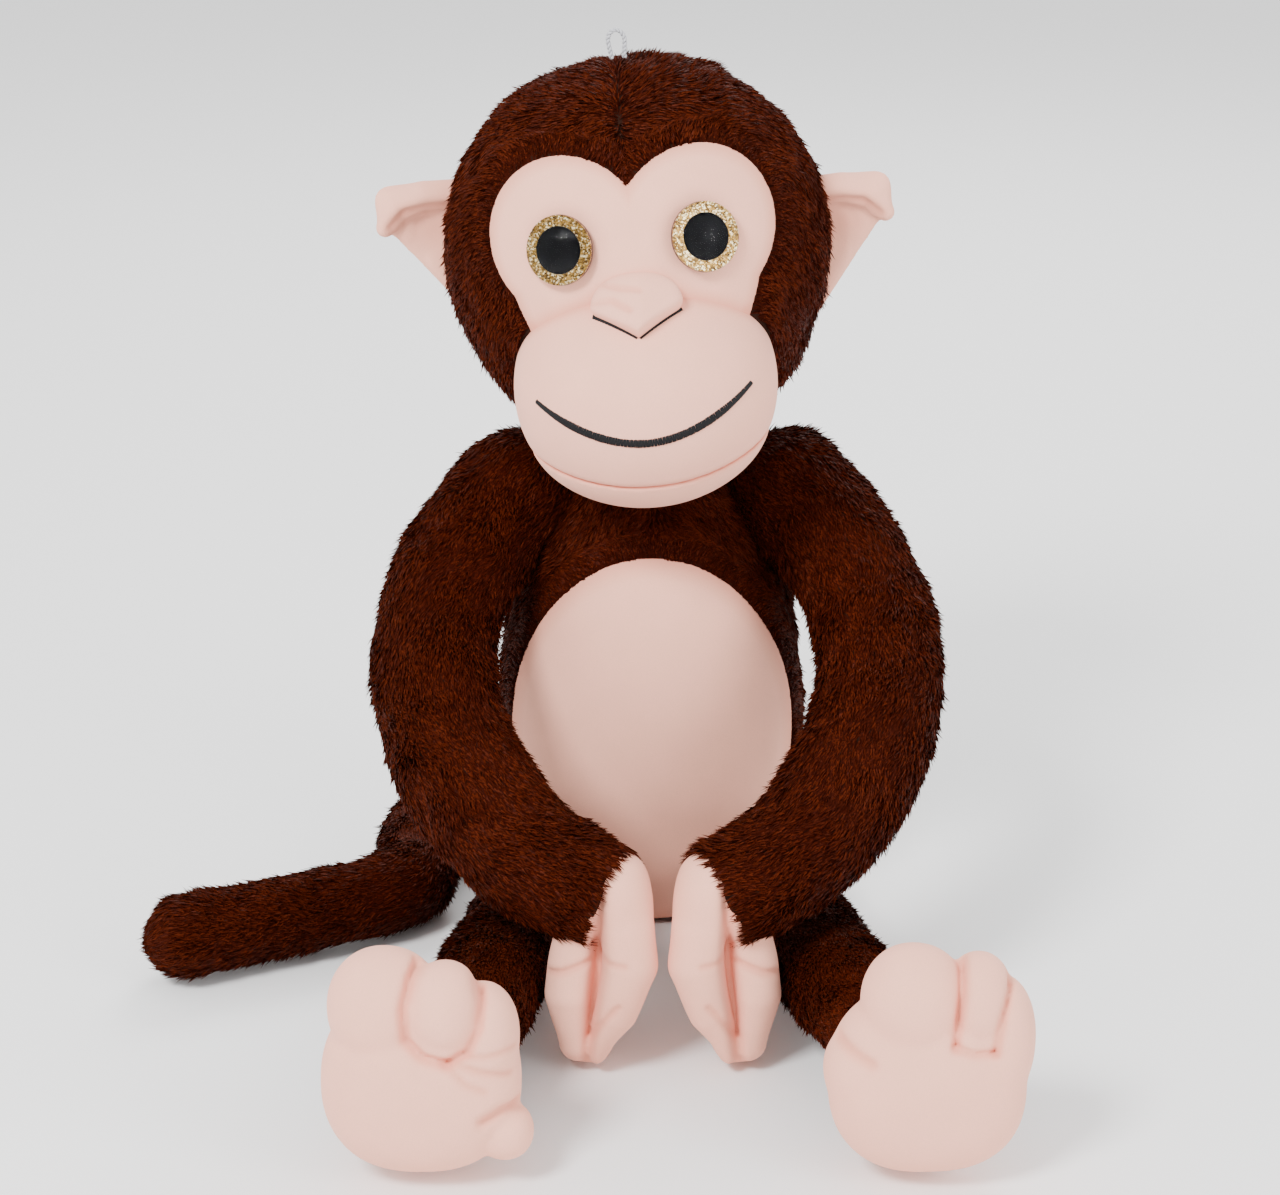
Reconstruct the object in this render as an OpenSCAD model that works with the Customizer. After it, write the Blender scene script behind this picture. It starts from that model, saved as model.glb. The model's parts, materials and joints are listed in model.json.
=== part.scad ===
// Stuffed monkey, sitting with its hands between its legs and its tail round to one side.
// Millimetres, +Z up, the toy faces -Y, and its own left side is +X.
// The origin is on the floor, under the middle of the torso.

/* [Fabric] */
// Height of the fur over the stuffing, backing and pile together
fur = 6; // [4:0.5:8]
// Thickness of the short-pile cloth of the face, belly, hands and feet
cloth = 1.6; // [1:0.1:2.5]

/* [Torso] */
// Width of the torso over the fur
torso_w = 156; // [130:1:190]
// Depth of the torso over the fur
torso_d = 144; // [120:1:175]
// Height of the torso's widest place over the floor
waist_z = 105; // [88:1:125]
// Rise of the torso from its widest place to its top
torso_rise = 140; // [118:1:165]
// Width of the belly panel
belly_w = 138; // [110:1:145]
// Height of the belly panel's top over the floor
belly_top = 197; // [165:1:210]
// Radius of the neck
neck_r = 40; // [34:1:46]

/* [Head] */
// Diameter of the head over the fur
head_d = 187; // [160:1:220]
// Height of the head's middle over the neck's pivot
head_lift = 87; // [75:1:105]
// Distance of the head's middle in front of the neck
head_forward = 8; // [0:1:15]
// Sideways tilt of the head, towards the toy's right
head_roll = 5.5; // [0:0.5:8]

/* [Muzzle] */
// Diameter of the muzzle
muzzle_d = 120; // [104:1:130]
// Distance of the muzzle's middle in front of the head's middle
muzzle_forward = 58; // [50:1:66]
// Distance of the muzzle's middle below the head's middle
muzzle_drop = 53; // [46:1:58]
// Width of the embroidered mouth line
mouth_line = 3.7; // [2.5:0.1:5]
// Width of the mouth from corner to corner
mouth_w = 99; // [75:1:105]
// Fall of the mouth from its corners to its middle
mouth_sag = 18; // [10:1:24]

/* [Face] */
// Height of the eyes over the head's middle
eye_line = 20; // [12:1:26]
// Radius of each brow lobe of the face panel
lobe_r = 36; // [30:1:40]
// Distance between the middles of the two brow lobes
lobe_gap = 58; // [50:1:66]
// Width of the nose
nose_w = 38; // [30:1:46]

/* [Eyes] */
// Diameter of the glitter ring
eye_d = 32; // [27:0.5:38]
// Distance between the eyes' middles
eye_gap = 64; // [56:1:72]
// Diameter of the pupil
pupil_d = 21.5; // [16:0.5:25]
// Height of the clear dome
dome_h = 8; // [6:0.5:10]
// Diameter of the shank that goes through the cloth
shank_d = 6; // [4.5:0.1:7.5]
// Diameter of the lock washer
washer_d = 22; // [18:0.5:26]

/* [Ears] */
// Reach of an ear beyond its root
ear_reach = 42; // [34:1:52]
// Height of an ear
ear_h = 56; // [44:1:66]
// Thickness of an ear, both layers together
ear_t = 12; // [8:0.5:15]

/* [Arms and hands] */
// Diameter of an arm over the fur
arm_d = 60; // [50:1:68]
// Height of the shoulder's pivot over the floor
shoulder_z = 216; // [185:1:225]
// Bow of the arm to the outside of the line from shoulder to wrist
arm_bow = 62; // [50:1:80]
// Distance of the wrists in front of the torso's middle
wrist_forward = 184; // [160:1:200]
// Height of the wrists over the floor
wrist_z = 84; // [76:1:98]
// Diameter of a hand
hand_d = 48; // [40:1:52]
// Length of a hand from the wrist to the finger tips
hand_l = 81; // [65:1:83]

/* [Legs and feet] */
// Diameter of a leg over the fur
leg_d = 60; // [52:1:66]
// Distance of the ankles in front of the torso's middle
ankle_forward = 260; // [220:1:290]
// Height of the ankles over the floor
ankle_z = 42; // [36:1:48]
// Diameter of a foot's sole
sole_d = 92; // [80:1:98]
// Thickness of a foot
foot_t = 44; // [36:1:50]
// Radius of a toe
toe_r = 17; // [13:0.5:20]

/* [Tail] */
// Diameter of the tail over the fur
tail_d = 47; // [38:1:54]
// Radius of the tail's first bend, round the torso
tail_bend = 84; // [80:1:100]
// Length of the tail's straight end
tail_end = 98; // [80:1:140]

/* [Hidden] */
$fn = 96;
joint_gap = 0.4;   // between two pieces that move apart
seam_gap = 0.2;    // between two panels sewn to each other
fill_gap = 0.3;    // between a panel and the stuffing
far = 400;         // longer than the toy in every direction

LEFT = 1;
RIGHT = -1;

brown = [0.24, 0.10, 0.05];
peach = [0.94, 0.84, 0.80];
wadding = [0.96, 0.96, 0.94];
thread = [0.04, 0.04, 0.04];

// The stuffed shapes, under the cloth
torso_half = [torso_w / 2 - fur, torso_d / 2 - fur, torso_rise - fur];
head_r = head_d / 2 - fur;
muzzle_r = muzzle_d / 2 - cloth;

neck_z = waist_z + torso_rise + 13;
head_shift = 7;
head_centre = [-head_shift, -head_forward, neck_z + head_lift];

arm_r = arm_d / 2;
hand_r = hand_d / 2;
leg_r = leg_d / 2;
tail_r = tail_d / 2;
shoulder_ball = arm_r + 7.5;

// Share of the torso's width that is left at height z
function girth(z) = sqrt(1 - pow((z - waist_z) / torso_rise, 2));

shoulder_x = torso_w / 2 * girth(shoulder_z) + arm_r * 0.65;
function shoulder(side) = [side * shoulder_x, 0, shoulder_z];
// The hands lie beside each other, a little to the toy's left of its middle
hands_middle = 5;
hands_apart = 3.5;
function wrist(side) = [hands_middle + side * (hand_r + hands_apart), -wrist_forward, wrist_z];

hip_out = 1.13;    // place of the hip's pivot, as a share of the torso's outline there
hip_turn = 43;     // direction of the hip's pivot, from straight ahead
hip_x = hip_out * torso_w / 2 * girth(leg_r) * sin(hip_turn);
hip_y = -hip_out * torso_d / 2 * girth(leg_r) * cos(hip_turn);
function hip(side) = [side * hip_x, hip_y, leg_r];
// The right foot stands a little closer in than the left one
function ankle(side) = [side == LEFT ? 109 : -90, -ankle_forward, ankle_z];
sole_tilt = 8;

tail_root = [-12, torso_d / 2 * girth(tail_r) + tail_r * 0.75, tail_r];

// ---------- shapes and places that several pieces share ----------

module ellipsoid(half, grow = 0) {
    scale([half.x + grow, half.y + grow, half.z + grow]) sphere(1);
}

// The left (+X) or right (-X) side of its children, less half a seam
module side_of(side) {
    intersection() {
        children();
        translate([side * (far + seam_gap) / 2, 0, 0]) cube(far, center = true);
    }
}

// The front (-Y) or back (+Y) of its children, less half a seam
module front_or_back(sign) {
    intersection() {
        children();
        translate([0, sign * (far + seam_gap) / 2, 0]) cube([far, far, 2 * far], center = true);
    }
}

// Puts its children's +Z axis on the line from one point to another
module along(from, to) {
    d = to - from;
    translate(from)
        rotate([0, acos(d.z / norm(d)), atan2(d.y, d.x)])
            children();
}

// Outline of a ball at the origin, a ball at height h and the cone between them
module capsule_outline(r1, r2, h) {
    tilt = asin((r1 - r2) / h);
    intersection() {
        union() {
            circle(r1);
            translate([0, h]) circle(r2);
            polygon([
                [0, 0], [r1 * cos(tilt), r1 * sin(tilt)],
                [r2 * cos(tilt), h + r2 * sin(tilt)], [0, h],
            ]);
        }
        translate([0, -far]) square([far, 2 * far]);
    }
}

module capsule(r1, r2, h) {
    rotate_extrude() capsule_outline(r1, r2, h);
}

// ---------- torso ----------

module torso_shape(grow = 0) {
    translate([0, 0, waist_z]) ellipsoid(torso_half, grow);
    translate([0, 0, neck_z]) sphere(neck_r - fur + grow);
}

// The balls of the limbs that are sewn on, with room to turn
module torso_sockets() {
    for (side = [LEFT, RIGHT]) {
        translate(shoulder(side)) sphere(shoulder_ball + joint_gap);
        translate(hip(side)) sphere(leg_r + joint_gap);
    }
    translate(tail_root) sphere(tail_r + joint_gap);
}

// The oval that the belly panel fills, as a bar through the front of the torso
module belly_bar(grow = 0) {
    bottom = 4;
    translate([0, 0, (belly_top + bottom) / 2])
        rotate([90, 0, 0])
            linear_extrude(far)
                scale([belly_w / 2 + grow, (belly_top - bottom) / 2 + grow]) circle(1);
}

module above_floor(z) {
    intersection() {
        children();
        translate([-far / 2, -far / 2, z]) cube(far);
    }
}

module torso_fur() {
    above_floor(0)
        difference() {
            torso_shape(fur);
            above_floor(fur) torso_shape(0);
            belly_bar(seam_gap);
            torso_sockets();
            translate([-far / 2, -far / 2, neck_z]) cube(far);
        }
}

module torso_fur_front() {
    color(brown) front_or_back(-1) torso_fur();
}

module torso_fur_back() {
    color(brown) front_or_back(1) torso_fur();
}

module belly_panel() {
    color(peach)
        above_floor(fur - cloth)
            intersection() {
                difference() {
                    torso_shape(cloth);
                    torso_shape(0);
                    torso_sockets();
                }
                belly_bar();
            }
}

module torso_stuffing() {
    color(wadding)
        above_floor(fur + fill_gap)
            difference() {
                torso_shape(-fill_gap);
                torso_sockets();
            }
}

// ---------- head ----------

module in_head() {
    translate(head_centre) rotate([0, -head_roll, 0]) children();
}

// The ball's own seam is turned to the back, away from the side that is asked for
module head_shape(grow = 0, side = RIGHT) {
    rotate([0, 0, 90 + side * 45]) sphere(head_r + grow);
}

module muzzle_shape(grow = 0, turn = 0) {
    translate([0, -muzzle_forward, -muzzle_drop])
        rotate([turn, 0, 0]) sphere(muzzle_r + grow);
}

// The neck's ball with room to turn, in the head's own frame
module neck_ball() {
    rotate([0, head_roll, 0])
        translate([0, 0, neck_z] - head_centre)
            sphere(neck_r + joint_gap);
}

// Right half of the heart-shaped outline of the face panel, from the brow's notch down
function half_heart(grow) = let (
    r = lobe_r + grow,
    x = lobe_gap / 2,
    z = eye_line + 2,
    notch = 180 - acos(x / r),
    steps = 24
) [
    for (i = [0 : steps]) let (a = notch * (1 - i / steps)) [x + r * cos(a), z + r * sin(a)],
    [(x + r) * 0.82, z - 32],
    [(x + r) * 0.6, z - 80],
];

// The face panel's outline, as a bar through the front of the head
module face_bar(grow = 0) {
    right = half_heart(grow);
    last = len(right) - 1;
    left = [for (i = [last : -1 : 1]) [-right[i].x, right[i].y]];
    rotate([90, 0, 0]) linear_extrude(far) polygon(concat(right, left));
}

// The toy's left ear hangs lower than its right one
function ear_root(side) = [side * (head_d / 2 - 4), 6, side == LEFT ? -1 : 14];
ear_root_r = 5;
ear_slot = 4;      // room round an ear's root, for it to bend

module ear_slot_cut(side) {
    translate(ear_root(side)) cylinder(h = ear_h + 4, r = ear_root_r + ear_slot, center = true);
}

module head_fur(side) {
    color(brown)
        in_head()
            side_of(side)
                difference() {
                    head_shape(fur, side);
                    head_shape(0, side);
                    face_bar(seam_gap);
                    muzzle_shape(cloth + seam_gap);
                    neck_ball();
                    ear_slot_cut(side);
                }
}

module head_fur_left() {
    head_fur(LEFT);
}

module head_fur_right() {
    head_fur(RIGHT);
}

module face_panel() {
    color(peach)
        in_head()
            intersection() {
                difference() {
                    head_shape(cloth);
                    head_shape(0);
                    muzzle_shape(cloth + seam_gap);
                    for (side = [LEFT, RIGHT])
                        at_eye(side) cylinder(h = 20, d = shank_d + 0.4, center = true);
                }
                face_bar();
            }
}

// Everything below the seam between muzzle and chin, as a bar through the front of the head
chin_sag = 8;
chin_z = -80;
chin_r = pow(mouth_w / 2, 2) / (2 * chin_sag) + chin_sag / 2;

module chin_bar(grow = 0) {
    rotate([90, 0, 0])
        linear_extrude(far)
            difference() {
                translate([-far / 2, chin_z - far / 2]) square([far, far / 2 + 2 * chin_sag]);
                translate([0, chin_z + chin_r]) circle(chin_r - grow);
            }
}

// The ball's poles are turned by so much from upright
module muzzle_skin(turn) {
    difference() {
        muzzle_shape(cloth, turn);
        muzzle_shape(0, turn);
        head_shape(cloth + seam_gap);
        neck_ball();
    }
}

module muzzle_panel() {
    color(peach)
        in_head()
            difference() {
                muzzle_skin(90 + atan2(muzzle_drop, muzzle_forward));
                chin_bar(seam_gap);
            }
}

module chin_panel() {
    color(peach)
        in_head()
            intersection() {
                muzzle_skin(0);
                chin_bar();
            }
}

nose_in = 2;       // depth of the nose's middle behind the face
nose_z = -7;

module nose_shape(grow = 0) {
    translate([0, nose_in - head_r, nose_z]) sphere(nose_w / 2 + grow);
}

module off_the_skin() {
    difference() {
        children();
        head_shape(cloth + seam_gap);
        muzzle_shape(cloth + seam_gap);
    }
}

module nose() {
    color(peach) in_head() off_the_skin() nose_shape();
}

// Two black lines along the lower edges of the nose
module nostril_stitching() {
    color(thread)
        in_head()
            off_the_skin()
                intersection() {
                    difference() {
                        nose_shape(1.3);
                        nose_shape(seam_gap);
                    }
                    for (side = [LEFT, RIGHT])
                        translate([side * nose_w * 0.3, -far / 2, -6])
                            rotate([0, -side * 40, 0])
                                cube([nose_w * 0.42, far, 2.6], center = true);
                }
}

mouth_r = pow(mouth_w / 2, 2) / (2 * mouth_sag) + mouth_sag / 2;
mouth_z = -64;     // middle of the mouth

module mouth_stitching() {
    color(thread)
        in_head()
            intersection() {
                difference() {
                    muzzle_shape(cloth + 1.3);
                    muzzle_shape(cloth + seam_gap);
                    head_shape(cloth);
                }
                translate([0, 0, mouth_z + mouth_r])
                    rotate([90, 0, 0])
                        linear_extrude(far)
                            intersection() {
                                difference() {
                                    circle(mouth_r + mouth_line / 2);
                                    circle(mouth_r - mouth_line / 2);
                                }
                                translate([-mouth_w / 2, -far]) square([mouth_w, far]);
                            }
            }
}

module head_stuffing() {
    color(wadding)
        in_head()
            difference() {
                union() {
                    head_shape(-fill_gap);
                    muzzle_shape(-fill_gap);
                }
                neck_ball();
                for (side = [LEFT, RIGHT])
                    ear_slot_cut(side);
                for (side = [LEFT, RIGHT])
                    at_eye(side) {
                        translate([0, 0, -shank_l - 1]) cylinder(h = shank_l + 2, d = shank_d + 1);
                        translate([0, 0, -washer_back - 0.4]) cylinder(h = 12, d = washer_d + 1);
                    }
            }
}

// Sewn-in hanging loop of thin cord, just in front of the crown
loop_d = 2.4;
loop_forward = 13;
loop_path = [
    [-3, 0], [-3.2, 3], [-3.7, 6], [-4, 9], [-3.2, 11.5], [-1.7, 13], [0, 13.5],
    [1.7, 13], [3.2, 11.5], [4, 9], [3.7, 6], [3.2, 3], [3, 0],
];

function loop_point(i) = [loop_path[i].x, 0, loop_path[i].y];
function loop_heading(i) = let (
    a = loop_point(max(i - 1, 0)),
    b = loop_point(min(i + 1, len(loop_path) - 1))
) (b - a) / norm(b - a);

module hang_loop() {
    sides = 8;
    rings = len(loop_path);
    points = [
        for (i = [0 : rings - 1])
            let (h = loop_heading(i), out = [h.z, 0, -h.x])
                for (k = [0 : sides - 1])
                    loop_point(i) + loop_d / 2 * (cos(360 * k / sides) * out + [0, sin(360 * k / sides), 0])
    ];
    walls = [
        for (i = [0 : rings - 2], k = [0 : sides - 1])
            let (n = (k + 1) % sides)
                [i * sides + k, i * sides + n, (i + 1) * sides + n, (i + 1) * sides + k]
    ];
    first = [for (k = [sides - 1 : -1 : 0]) k];
    last = [for (k = [0 : sides - 1]) (rings - 1) * sides + k];
    color([0.85, 0.85, 0.86])
        in_head()
            translate([0, -loop_forward, sqrt(pow(head_d / 2, 2) - pow(loop_forward - loop_d, 2)) + seam_gap])
                polyhedron(points, concat(walls, [first, last]));
}

// ---------- ears ----------

module ear_shape(side) {
    translate(ear_root(side))
        union() {
            cylinder(h = ear_h * 0.8, r = ear_root_r, center = true);
            intersection() {
                ellipsoid([ear_reach, ear_t / 2, ear_h / 2]);
                translate([side * far / 2, 0, 0]) cube(far, center = true);
            }
        }
}

module ear(side, sign) {
    color(peach)
        in_head()
            intersection() {
                ear_shape(side);
                translate([0, ear_root(side)[1] + sign * (far + seam_gap) / 2, 0])
                    cube(far, center = true);
            }
}

module left_ear_front() {
    ear(LEFT, -1);
}

module left_ear_back() {
    ear(LEFT, 1);
}

module right_ear_front() {
    ear(RIGHT, -1);
}

module right_ear_back() {
    ear(RIGHT, 1);
}

// ---------- eyes ----------

eye_x = eye_gap / 2;
eye_y = -sqrt(pow(head_r, 2) - pow(eye_x, 2) - pow(eye_line, 2));
eye_turn = atan2(eye_x, -eye_y);
eye_lift = asin(eye_line / head_r);

shank_l = 15;
stud_t = 1.5;
ring_t = 1.2;
washer_t = 1.5;
washer_back = 2.6;
eye_seat = cloth + seam_gap;
dome_base = eye_seat + stud_t + ring_t + 0.1;
pupil_rise = 2.6;

// Puts its children on the face, with +Z straight out of the stuffing
module at_eye(side) {
    translate([side * eye_x, eye_y, eye_line])
        rotate([90 - eye_lift, 0, side * eye_turn])
            children();
}

module cap_outline(r, rise) {
    round = (r * r + rise * rise) / (2 * rise);
    intersection() {
        translate([0, rise - round]) circle(round);
        square([r, rise]);
    }
}

module eye_lens(side) {
    color([0.9, 0.95, 1, 0.35])
        in_head()
            at_eye(side)
                translate([0, 0, dome_base])
                    rotate_extrude()
                        difference() {
                            cap_outline(eye_d / 2 + 0.4, dome_h);
                            cap_outline(pupil_d / 2 + 0.1, pupil_rise + 0.1);
                        }
}

module eye_glitter_ring(side) {
    color([0.78, 0.66, 0.42])
        in_head()
            at_eye(side)
                translate([0, 0, eye_seat + stud_t])
                    difference() {
                        cylinder(h = ring_t, d = eye_d);
                        translate([0, 0, -1]) cylinder(h = ring_t + 2, d = pupil_d + 0.2);
                    }
}

module eye_pupil(side) {
    color([0.02, 0.02, 0.02])
        in_head()
            at_eye(side)
                translate([0, 0, eye_seat + stud_t])
                    rotate_extrude()
                        union() {
                            square([pupil_d / 2, ring_t]);
                            translate([0, ring_t]) cap_outline(pupil_d / 2, pupil_rise);
                        }
}

module eye_stud(side) {
    color([0.10, 0.07, 0.05])
        in_head()
            at_eye(side)
                rotate_extrude()
                    union() {
                        translate([0, eye_seat]) square([eye_d / 2, stud_t]);
                        translate([0, -shank_l]) square([shank_d / 2, shank_l + eye_seat + stud_t]);
                    }
}

module eye_washer(side) {
    color([0.9, 0.9, 0.88])
        in_head()
            at_eye(side)
                translate([0, 0, -washer_back])
                    difference() {
                        cylinder(h = washer_t, d = washer_d);
                        translate([0, 0, -1]) cylinder(h = washer_t + 2, d = shank_d + 0.1);
                    }
}

module left_eye_lens() {
    eye_lens(LEFT);
}

module right_eye_lens() {
    eye_lens(RIGHT);
}

module left_eye_glitter_ring() {
    eye_glitter_ring(LEFT);
}

module right_eye_glitter_ring() {
    eye_glitter_ring(RIGHT);
}

module left_eye_pupil() {
    eye_pupil(LEFT);
}

module right_eye_pupil() {
    eye_pupil(RIGHT);
}

module left_eye_stud() {
    eye_stud(LEFT);
}

module right_eye_stud() {
    eye_stud(RIGHT);
}

module left_eye_washer() {
    eye_washer(LEFT);
}

module right_eye_washer() {
    eye_washer(RIGHT);
}

// ---------- arms ----------

// An arm is one arc from the shoulder to the wrist. Its frame has the arc's centre as origin,
// +X towards the top of the bow and +Y along the chord.
bow_hint = [1, 0.15, 0.1];
function chord(side) = wrist(side) - shoulder(side);
function chord_dir(side) = chord(side) / norm(chord(side));
function bow_raw(side) = let (hint = [side * bow_hint.x, bow_hint.y, bow_hint.z])
    hint - (hint * chord_dir(side)) * chord_dir(side);
function bow_dir(side) = bow_raw(side) / norm(bow_raw(side));
function bend_r(side) = pow(norm(chord(side)), 2) / (8 * arm_bow) + arm_bow / 2;
function half_bend(side) = asin(norm(chord(side)) / 2 / bend_r(side));
cuff = 10;         // distance from the end of a sleeve to the pivot of the hand or foot
hand_lean = 8;     // of a hanging hand, forwards
hand_swing = 25;   // of a hand at its wrist, forwards

module in_arm(side) {
    u = bow_dir(side);
    v = chord_dir(side);
    w = cross(u, v);
    c = (shoulder(side) + wrist(side)) / 2 - u * (bend_r(side) - arm_bow);
    multmatrix([
        [u.x, v.x, w.x, c.x],
        [u.y, v.y, w.y, c.y],
        [u.z, v.z, w.z, c.z],
        [0, 0, 0, 1],
    ])
        children();
}

module arm_shape(side, grow) {
    trim = cuff / bend_r(side) * 180 / PI;
    in_arm(side)
        rotate([0, 0, -half_bend(side)])
            rotate_extrude(angle = 2 * half_bend(side) - trim)
                translate([bend_r(side), 0]) circle(arm_r - fur + grow);
    translate(shoulder(side)) sphere(shoulder_ball - fur + grow);
}

// The room that the hand needs in the sleeve's end, from hanging down to swung forward
module wrist_cut(side) {
    translate(wrist(side)) sphere(hand_r + 2 * joint_gap);
    for (swing = [0, hand_swing])
        translate(wrist(side))
            rotate([180 - hand_lean - swing, 0, 0]) cylinder(h = hand_l, r = hand_r + joint_gap);
}

module arm_fur(side) {
    color(brown)
        difference() {
            arm_shape(side, fur);
            arm_shape(side, 0);
            wrist_cut(side);
        }
}

module arm_stuffing(side) {
    color(wadding)
        difference() {
            arm_shape(side, -fill_gap);
            wrist_cut(side);
        }
}

module left_arm_fur() {
    arm_fur(LEFT);
}

module right_arm_fur() {
    arm_fur(RIGHT);
}

module left_arm_stuffing() {
    arm_stuffing(LEFT);
}

module right_arm_stuffing() {
    arm_stuffing(RIGHT);
}

// ---------- hands ----------

fingers = 1.5;     // how much slimmer the hand is at its finger tips

module in_hand(side) {
    translate(wrist(side)) rotate([180 - hand_lean, 0, 0]) children();
}

module hand_outline(grow) {
    r = hand_r - cloth + grow;
    capsule_outline(r, r - fingers, hand_l - hand_r);
}

// One half of the hand's skin: sign says on which side (+X or -X) of the seam it is
module hand_panel(side, sign) {
    color(peach)
        in_hand(side)
            translate([sign * seam_gap / 2, 0, 0])
                rotate([0, 0, -90 * sign])
                    rotate_extrude(angle = 180)
                        difference() {
                            hand_outline(cloth);
                            hand_outline(0);
                        }
}

module hand_stuffing(side) {
    color(wadding) in_hand(side) rotate_extrude() hand_outline(-fill_gap);
}

module left_palm() {
    hand_panel(LEFT, -1);
}

module left_hand_back() {
    hand_panel(LEFT, 1);
}

module right_palm() {
    hand_panel(RIGHT, 1);
}

module right_hand_back() {
    hand_panel(RIGHT, -1);
}

module left_hand_stuffing() {
    hand_stuffing(LEFT);
}

module right_hand_stuffing() {
    hand_stuffing(RIGHT);
}

// ---------- legs ----------

ankle_r = leg_r - 3;
function leg_l(side) = norm(ankle(side) - hip(side));

module leg_shape(side, grow) {
    along(hip(side), ankle(side))
        intersection() {
            capsule(leg_r - fur + grow, ankle_r - fur + grow, leg_l(side));
            translate([0, 0, leg_l(side) - cuff - far / 2]) cube(far, center = true);
        }
}

module leg_fur(side) {
    color(brown)
        difference() {
            leg_shape(side, fur);
            leg_shape(side, 0);
            translate(ankle(side)) sphere(foot_ball + joint_gap);
        }
}

module leg_stuffing(side) {
    color(wadding)
        difference() {
            leg_shape(side, -fill_gap);
            translate(ankle(side)) sphere(foot_ball + joint_gap);
        }
}

module left_leg_fur() {
    leg_fur(LEFT);
}

module right_leg_fur() {
    leg_fur(RIGHT);
}

module left_leg_stuffing() {
    leg_stuffing(LEFT);
}

module right_leg_stuffing() {
    leg_stuffing(RIGHT);
}

// ---------- feet ----------

foot_ball = ankle_r - 4;
foot_gap = 4;      // from the ankle's pivot to the back of the foot
foot_out = 9;      // of the sole's middle, to the outside of the ankle

// The foot's own frame: origin at the ankle, +Z out of the sole, +Y up
module in_foot(side) {
    translate(ankle(side)) rotate([90 - sole_tilt, 0, 0]) children();
}

module foot_shape(side, grow) {
    rim = foot_t / 2 - cloth + grow;
    flat = sole_d / 2 - foot_t / 2;
    middle = foot_gap + foot_t / 2;
    sphere(foot_ball - cloth + grow);
    translate([side * foot_out, sole_d / 2 - ankle_z + 1, middle])
        union() {
            rotate_extrude()
                union() {
                    translate([flat, 0]) intersection() {
                        circle(rim);
                        translate([0, -far / 2]) square([far, far]);
                    }
                    translate([0, -rim]) square([flat, 2 * rim]);
                }
            for (turn = [-32, 0, 32])
                rotate([0, 0, turn])
                    translate([0, sole_d / 2 - toe_r * 0.6, 0])
                        sphere(toe_r - cloth + grow);
        }
}

module foot_panel(side, sign) {
    split = foot_gap + foot_t / 2 + sign * (far + seam_gap) / 2;
    color(peach)
        in_foot(side)
            intersection() {
                difference() {
                    foot_shape(side, cloth);
                    foot_shape(side, 0);
                }
                translate([0, 0, split]) cube(far, center = true);
            }
}

module foot_stuffing(side) {
    color(wadding) in_foot(side) foot_shape(side, -fill_gap);
}

module left_sole() {
    foot_panel(LEFT, 1);
}

module right_sole() {
    foot_panel(RIGHT, 1);
}

module left_foot_top() {
    foot_panel(LEFT, -1);
}

module right_foot_top() {
    foot_panel(RIGHT, -1);
}

module left_foot_stuffing() {
    foot_stuffing(LEFT);
}

module right_foot_stuffing() {
    foot_stuffing(RIGHT);
}

// ---------- tail ----------

tail_lean = 18;    // away from the torso, where the tail leaves it
tail_turn = 120;   // of the first bend, round the torso
tail_back = 75;    // of the second bend, the other way
tail_bend_2 = 35;

bead = 0.8;        // how far the balls at the tail's joins stand proud of it
join_trim = 1.5;   // how far each stretch ends short of the middle of a ball

// Part of the tail that bends round the origin, from +X on
module tail_arc(bend, angle, r) {
    trim = join_trim / bend * 180 / PI;
    rotate([0, 0, trim])
        rotate_extrude(angle = angle - 2 * trim) translate([bend, 0]) circle(r);
}

module tail_shape(grow) {
    r = tail_r - fur - bead + grow;
    translate(tail_root) rotate([0, 0, -tail_lean]) {
        sphere(r + bead);
        translate([0, -tail_bend, 0]) {
            rotate([0, 0, 90]) tail_arc(tail_bend, tail_turn, r);
            rotate([0, 0, 90 + tail_turn])
                translate([tail_bend, 0, 0]) {
                    sphere(r + bead);
                    translate([tail_bend_2, 0, 0])
                        rotate([0, 0, 180 - tail_back]) {
                            tail_arc(tail_bend_2, tail_back, r);
                            translate([tail_bend_2, 0, 0]) {
                                sphere(r + bead);
                                translate([0, -join_trim, 0])
                                    rotate([90, 0, 0]) cylinder(h = tail_end - 2 * join_trim, r = r);
                                translate([0, -tail_end, 0]) sphere(r + bead);
                            }
                        }
                }
        }
    }
}

module tail_fur() {
    color(brown)
        difference() {
            tail_shape(fur);
            tail_shape(0);
        }
}

module tail_stuffing() {
    color(wadding) tail_shape(-fill_gap);
}

torso_fur_front();
torso_fur_back();
belly_panel();
torso_stuffing();
head_fur_left();
head_fur_right();
face_panel();
muzzle_panel();
chin_panel();
nose();
nostril_stitching();
mouth_stitching();
head_stuffing();
hang_loop();
left_ear_front();
left_ear_back();
right_ear_front();
right_ear_back();
left_eye_lens();
left_eye_glitter_ring();
left_eye_pupil();
left_eye_stud();
left_eye_washer();
right_eye_lens();
right_eye_glitter_ring();
right_eye_pupil();
right_eye_stud();
right_eye_washer();
left_arm_fur();
left_arm_stuffing();
left_palm();
left_hand_back();
left_hand_stuffing();
right_arm_fur();
right_arm_stuffing();
right_palm();
right_hand_back();
right_hand_stuffing();
left_leg_fur();
left_leg_stuffing();
left_sole();
left_foot_top();
left_foot_stuffing();
right_leg_fur();
right_leg_stuffing();
right_sole();
right_foot_top();
right_foot_stuffing();
tail_fur();
tail_stuffing();
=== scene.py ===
"""Looks of the stuffed monkey: combed fur, velboa panels, glitter eyes, stitched mouth and nose.

Shapes are worked out as distance fields in millimetres and meshed; objects are in metres.
"""

import json
import math

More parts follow.
